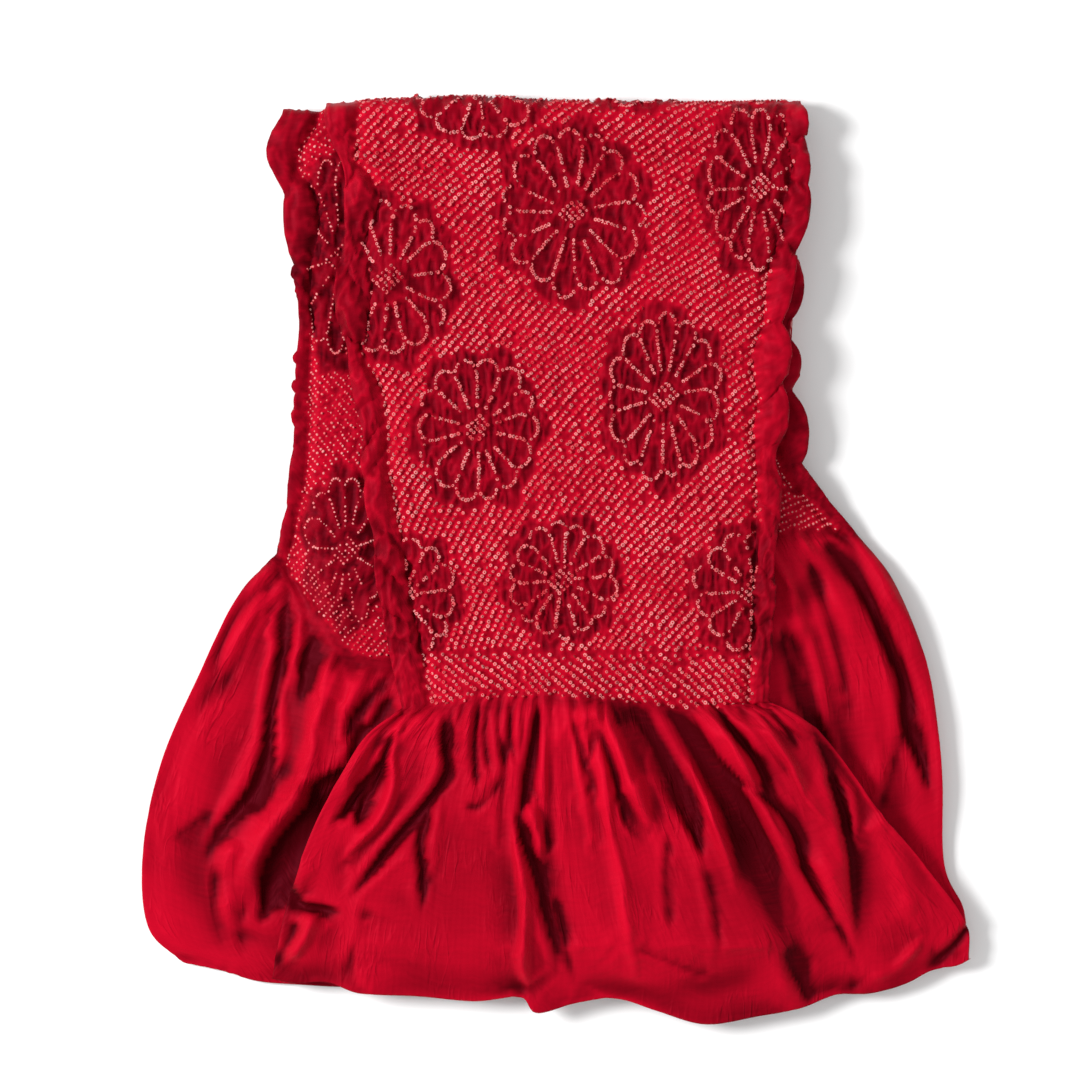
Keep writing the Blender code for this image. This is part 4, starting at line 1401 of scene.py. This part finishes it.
FRONT_CREASES = (
    Crease(1.9, -4.4, 2.6, (
        (-41.4, -52), (-42.7, -67.2), (-41.4, -79.6), (-50.6, -92.9), (-61.3, -105.3), (-71, -118),
        (-80, -130),
    )),
    Crease(1.7, -3.6, 1.4, ((-47, -92), (-51, -103), (-51.5, -110), (-50.4, -120), (-51.1, -137))),
    Crease(1.3, -1.0, 0.5, ((-36, -92), (-29, -92), (-24, -87), (-20, -80))),
    Crease(1.2, -1.6, 0.5, ((-40, -50), (-40, -64), (-42, -76))),
    Crease(1.2, -1.6, 0.5, ((-35, -50), (-36.5, -64), (-37.5, -76))),
    Crease(1.3, -2.2, 1.0, ((-29, -50), (-31, -64), (-31, -77), (-29.5, -88))),
    Crease(1.2, -1.8, 0.8, ((-25, -50), (-27, -67), (-24.5, -84))),
    Crease(1.2, -1.8, 0.8, ((-21, -50), (-22, -64), (-19.6, -80))),
    Crease(1.1, -1.6, 0.7, ((-18, -50), (-17.6, -66), (-15, -78))),
    Crease(1.8, -4.0, 2.0, ((-6.6, -50), (-9.5, -67.2), (-12.2, -80.5), (-13.1, -90.2), (-15.4, -100))),
    Crease(2.9, -4.0, 2.8, (
        (-16.1, -90), (-13.5, -105.3), (-8.2, -117.7), (-4.7, -131.8), (-1.1, -144.2), (-1, -158),
    )),
    Crease(2.2, 3.0, 0, ((-17, -92), (-13.5, -115.9), (-12, -133.6), (-13, -150), (-10, -171))),
    Crease(1.5, -1.6, 0.4, ((-1, -124), (2.3, -142), (7, -162))),
    Crease(1.4, 2.0, 0, ((-12.6, -89), (-8.2, -101.7), (-6.2, -113))),
    Crease(1.3, -1.4, 0.6, ((-9, -84), (-5, -100), (-3, -112))),
    Crease(1.6, -1.2, 0.8, ((5, -58), (7.7, -69), (10.4, -82.3), (14, -93))),
    Crease(1.8, -1.4, 1.0, ((13, -56), (15.7, -64.6), (21, -80.5), (25.4, -98.2), (34, -108))),
    Crease(1.8, -1.8, 1.0, ((20, -54), (27.2, -73.4), (29, -86))),
    Crease(2.9, -14, 3.0, ((14, -36), (24, -49), (33, -63), (39, -73), (45, -86), (50.5, -100), (56, -116))),
    Crease(3.1, -15, 3.2, (
        (25, -34), (36, -48), (42, -57), (51, -71), (61, -86), (69, -100), (75, -115), (82, -134),
        (90, -156), (97, -176),
    )),
    Crease(4.4, 3.6, 0, ((8, -50), (19, -64), (28, -82), (35, -102))),
    Crease(4.6, 3.8, 0, ((42, -46), (53, -60), (67, -80), (80, -102), (92, -130))),
    Crease(7.5, -3.6, 1.6, ((58, -82), (70, -100), (76, -116), (82, -134), (90, -152), (93, -170))),
    Crease(2.8, 4.4, 0, ((27, -46), (37, -58), (45, -72), (54, -88), (62, -106), (68, -130))),
    Crease(1.5, -3.0, 1.2, (
        (54, -70), (62, -79), (74, -87), (84, -95), (90, -108), (92, -116), (100, -130), (110, -148),
        (117, -168),
    )),
    Crease(1.4, -2.6, 1.2, ((54.4, -50), (62.8, -61.5), (72.2, -73), (78, -84), (81, -93))),
    Crease(1.2, -1.0, 0.6, ((64, -52), (73, -64), (82.7, -76), (87, -84))),
    Crease(1.3, -1.2, 0.5, ((76, -53), (84, -62), (91, -73.5))),
    Crease(5.5, 3.0, 0, ((62, -56), (84, -74), (96, -96), (101, -118), (105, -146))),
    Crease(2.6, -1.8, 2.2, (
        (92, -56), (99, -74), (104, -91), (106, -100), (109, -115), (111, -136), (114, -154),
    )),
    Crease(1.5, -2.2, 0.8, ((100, -78), (103, -88), (106, -97), (108, -106))),
    Crease(4.5, 2.2, 0, ((116, -92), (124, -106), (130, -126), (136, -142))),
    Crease(1.6, -1.2, 0.8, ((41, -100), (40, -122), (43, -144))),
    Crease(1.8, -1.2, 0.8, ((54, -112), (58, -130), (61, -150))),
    Crease(3.6, 1.8, 0, ((14, -62), (19, -96), (25, -130), (30, -162))),
    Crease(2.4, -1.0, 0.6, ((20, -142), (36, -148), (48, -153), (62, -156))),
    Crease(2.4, -2.2, 0.6, ((91, -166), (100.3, -160.9), (109.7, -160), (116, -155))),
    Crease(1.8, 1.8, 0, ((116, -158), (128.4, -151.5), (138, -139))),
    Crease(1.8, -2.8, 1.6, ((155, -134), (147.2, -145), (136, -155))),
    Crease(2.0, -3.4, 1.0, ((-63, -74), (-69, -84), (-73, -92), (-75, -103))),
    Crease(1.6, 2.4, 0, ((-57.2, -60), (-61.9, -72.3), (-61.5, -84), (-66, -96), (-74, -105), (-84, -116))),
    Crease(2.4, -3.4, 1.2, ((-60, -62), (-66, -76), (-77, -90), (-86, -101))),
    Crease(1.6, -2.4, -1.2, ((-100, -120), (-96.5, -128), (-89, -130), (-76, -132))),
    Crease(2.6, 2.8, 0, ((-90, -130), (-95, -141), (-104, -154))),
    Crease(4.4, -1.6, 1.2, ((-72, -128), (-75, -142), (-82, -160))),
    Crease(1.6, -1.4, 0.8, ((-97, -134), (-101, -144), (-108, -155))),
    Crease(4.2, 3.6, 0, ((-66, -62), (-82, -84), (-90, -102), (-95, -116), (-99, -130))),
)
FRONT_FLOWERS = (
    Flower(5.8, 128.8, 26, 31, 15, 10),
    Flower(39.6, 60.2, 21.5, 31, 15, 3),
    Flower(-29.8, 48.2, 22.5, 27, 14, 12),
    Flower(1.7, -8, 20, 22, 14, 5),
    Flower(-63, 104, 23, 29, 14, 8),
    Flower(75, 138, 20, 30, 14, 0),
    Flower(72, -12, 21, 23, 13, 14),
    Flower(-30, 176, 24, 21, 13, 2),
    Flower(-57, -14, 19, 22, 12, 7),
    Flower(28, 188, 20, 20, 12, 7),
)
FRONT_MARGINS = (
    Margin(-55, 10, 6),
    Margin(-25, 10, 6),
    Margin(10, 9, 7),
    Margin(36, 7.5, 8),
    Margin(47, 9, 9),
    Margin(60, 9.5, 7),
    Margin(68, 7, 8.5),
    Margin(77, 4, 9.5),
    Margin(87, 8, 5.5),
    Margin(98, 11, 5.5),
    Margin(110, 10, 6),
    Margin(118, 6, 5.5),
    Margin(126, 9, 6),
    Margin(134, 12, 7),
    Margin(142, 9, 5),
    Margin(148, 5, 4),
    Margin(157, 8, 5),
    Margin(168, 11, 6),
    Margin(200, 11, 6),
)
FRONT_LEFT_RUFFLES = (
    Lobe(26, 0, 0, 0),
    Lobe(19, 3.8, 0.8, 0.3),
    Lobe(15, 2, -1.2, 0.6),
    Lobe(12, 3.4, 0.4, 0.4),
    Lobe(14, 1.6, -0.8, 0.7),
    Lobe(27, 4.8, 1.4, 0.35),
    Lobe(11, 1.8, -0.8, 0.6),
    Lobe(20, 4.2, 0.6, 0.3),
    Lobe(15, 2.6, -1.4, 0.7),
    Lobe(10, 3.2, 0.8, 0.3),
    Lobe(16, 4.2, 1, 0.4),
    Lobe(11, 3.4, -0.6, 0.2),
    Lobe(19, 3, 0.6, 0.5),
    Lobe(12, 2.2, 0, 0.3),
    Lobe(25, 2, 0.4, 0.3),
)
FRONT_RIGHT_RUFFLES = (
    Lobe(26, 0, 0, 0),
    Lobe(12, 4, 2.6, 0.7),
    Lobe(20, 2.2, 1.2, 0.3),
    Lobe(27, 2.6, 2.2, 0.4),
    Lobe(25, 3.8, 3.2, 0.5),
    Lobe(22, 4.2, 4.2, 0.5),
    Lobe(22, 3.8, 3.4, 0.5),
    Lobe(14, 2.4, -2, 0.6),
    Lobe(17, 3.8, 0.4, 0.3),
    Lobe(22, 2.6, -1, 0.5),
    Lobe(13, 3.4, 0.8, 0.6),
    Lobe(20, 2.4, 0.4, 0.3),
)
BAND_TOP = -35.5
BAND_FOOT = -50.5


def front_dots_places():
    chance = np.random.default_rng(5)
    rows = row_dots((-95, BAND_TOP + BAND_GAP), (100, 215), ROW_ANGLE, chance)
    band = row_dots((-70, BAND_FOOT - 5), (90, BAND_TOP), BAND_ANGLE, chance)
    rows = rows[in_ground(rows, FRONT_FLOWERS) < BARE_GROUND]
    flowers = np.concatenate([flower_dots(flower, chance) for flower in FRONT_FLOWERS])
    flowers = flowers[flowers[:, 1] > BAND_TOP + BAND_GAP]
    return np.concatenate([rows, band, flowers])


FRONT = End(
    name="front_end",
    panel=FRONT_PANEL,
    tail=FRONT_TAIL,
    creases=FRONT_CREASES,
    radius=OUTER_FOLD_RADIUS,
    layer_z=UNDER_Z,
    gap=1.3,
    seed=8,
    fullness=(1.7, 1.3),
    panel_rows=304,
    tail_rows=100,
    columns=224,
    behind=BEHIND_OUTER_FOLD,
    behind_step=1.2,
    flowers=FRONT_FLOWERS,
    margins=FRONT_MARGINS,
    ruffles=(FRONT_LEFT_RUFFLES, FRONT_RIGHT_RUFFLES),
    tied_tone=0.47,
)

back_top = back_final + (0, 0, PLAIN_THICKNESS / 2)
front_points, front_depth, front_charts, front_ties = folded_end(FRONT, top_map(hidden_top, back_top))
front_placed = on_cloth(front_dots_places(), front_charts, front_ties, FRONT_MARGINS)
front_end, front_final, front_normals = finished_end(
    FRONT, front_points, front_depth, front_charts, front_ties, front_placed[0]
)
front_dots = tied_dots(
    "front_dots",
    front_placed,
    front_charts,
    front_final,
    front_normals,
    seed=32,
    sink=DOT_SINK,
    size=0.9,
    paleness=1.0,
)
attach(front_end, "root")
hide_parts("obiage")
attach(front_dots, "root")


# The place it was photographed in: a plain pale table under a large soft light from the left and a weaker one
# from the right, seen from straight above with the top fold up. The table reaches far past the view, so that
# no edge of it shows.

TABLE_SIDE = 6.0
TABLE_Z = -0.0002
VIEW_HEIGHT = 2.0
VIEW_WIDTH = 0.405
VIEW_CENTRE = (-0.0066, 0.0069)
SENSOR = 36.0

bpy.ops.object.select_all(action="DESELECT")
bpy.ops.mesh.primitive_grid_add(x_subdivisions=4, y_subdivisions=4, size=TABLE_SIDE, location=(0, 0, TABLE_Z))
floor = bpy.context.object
floor.name = "floor"
bpy.ops.object.transform_apply(location=True)
table_white = bpy.data.materials.new("white table")
table_white.use_nodes = True
table_shader = table_white.node_tree.nodes["Principled BSDF"]
table_shader.inputs["Base Color"].default_value = (0.93, 0.93, 0.93, 1)
table_shader.inputs["Roughness"].default_value = 0.8
floor.data.materials.append(table_white)


def soft_light(name, place, side, power):
    light = bpy.data.lights.new(name, "AREA")
    light.shape = "SQUARE"
    light.size = side
    light.energy = power
    lamp = bpy.data.objects.new(name, light)
    lamp.location = place
    lamp.rotation_euler = (-Vector(place)).to_track_quat("-Z", "Y").to_euler()
    bpy.context.scene.collection.objects.link(lamp)


soft_light("key light", place=(-1.15, 0.22, 1.1), side=0.5, power=28.5)
soft_light("fill light", place=(0.8, -0.3, 1.5), side=1.6, power=5)
world = bpy.data.worlds.new("studio")
world.use_nodes = True
sky = world.node_tree.nodes["Background"]
sky.inputs["Color"].default_value = (1, 1, 1, 1)
sky.inputs["Strength"].default_value = 0.55
bpy.context.scene.world = world
bpy.context.scene.view_settings.view_transform = "Standard"

camera = bpy.data.objects.new("camera", bpy.data.cameras.new("camera"))
camera.data.sensor_width = SENSOR
camera.data.lens = SENSOR * VIEW_HEIGHT / VIEW_WIDTH
camera.location = (*VIEW_CENTRE, VIEW_HEIGHT)
bpy.context.scene.collection.objects.link(camera)
bpy.context.scene.camera = camera
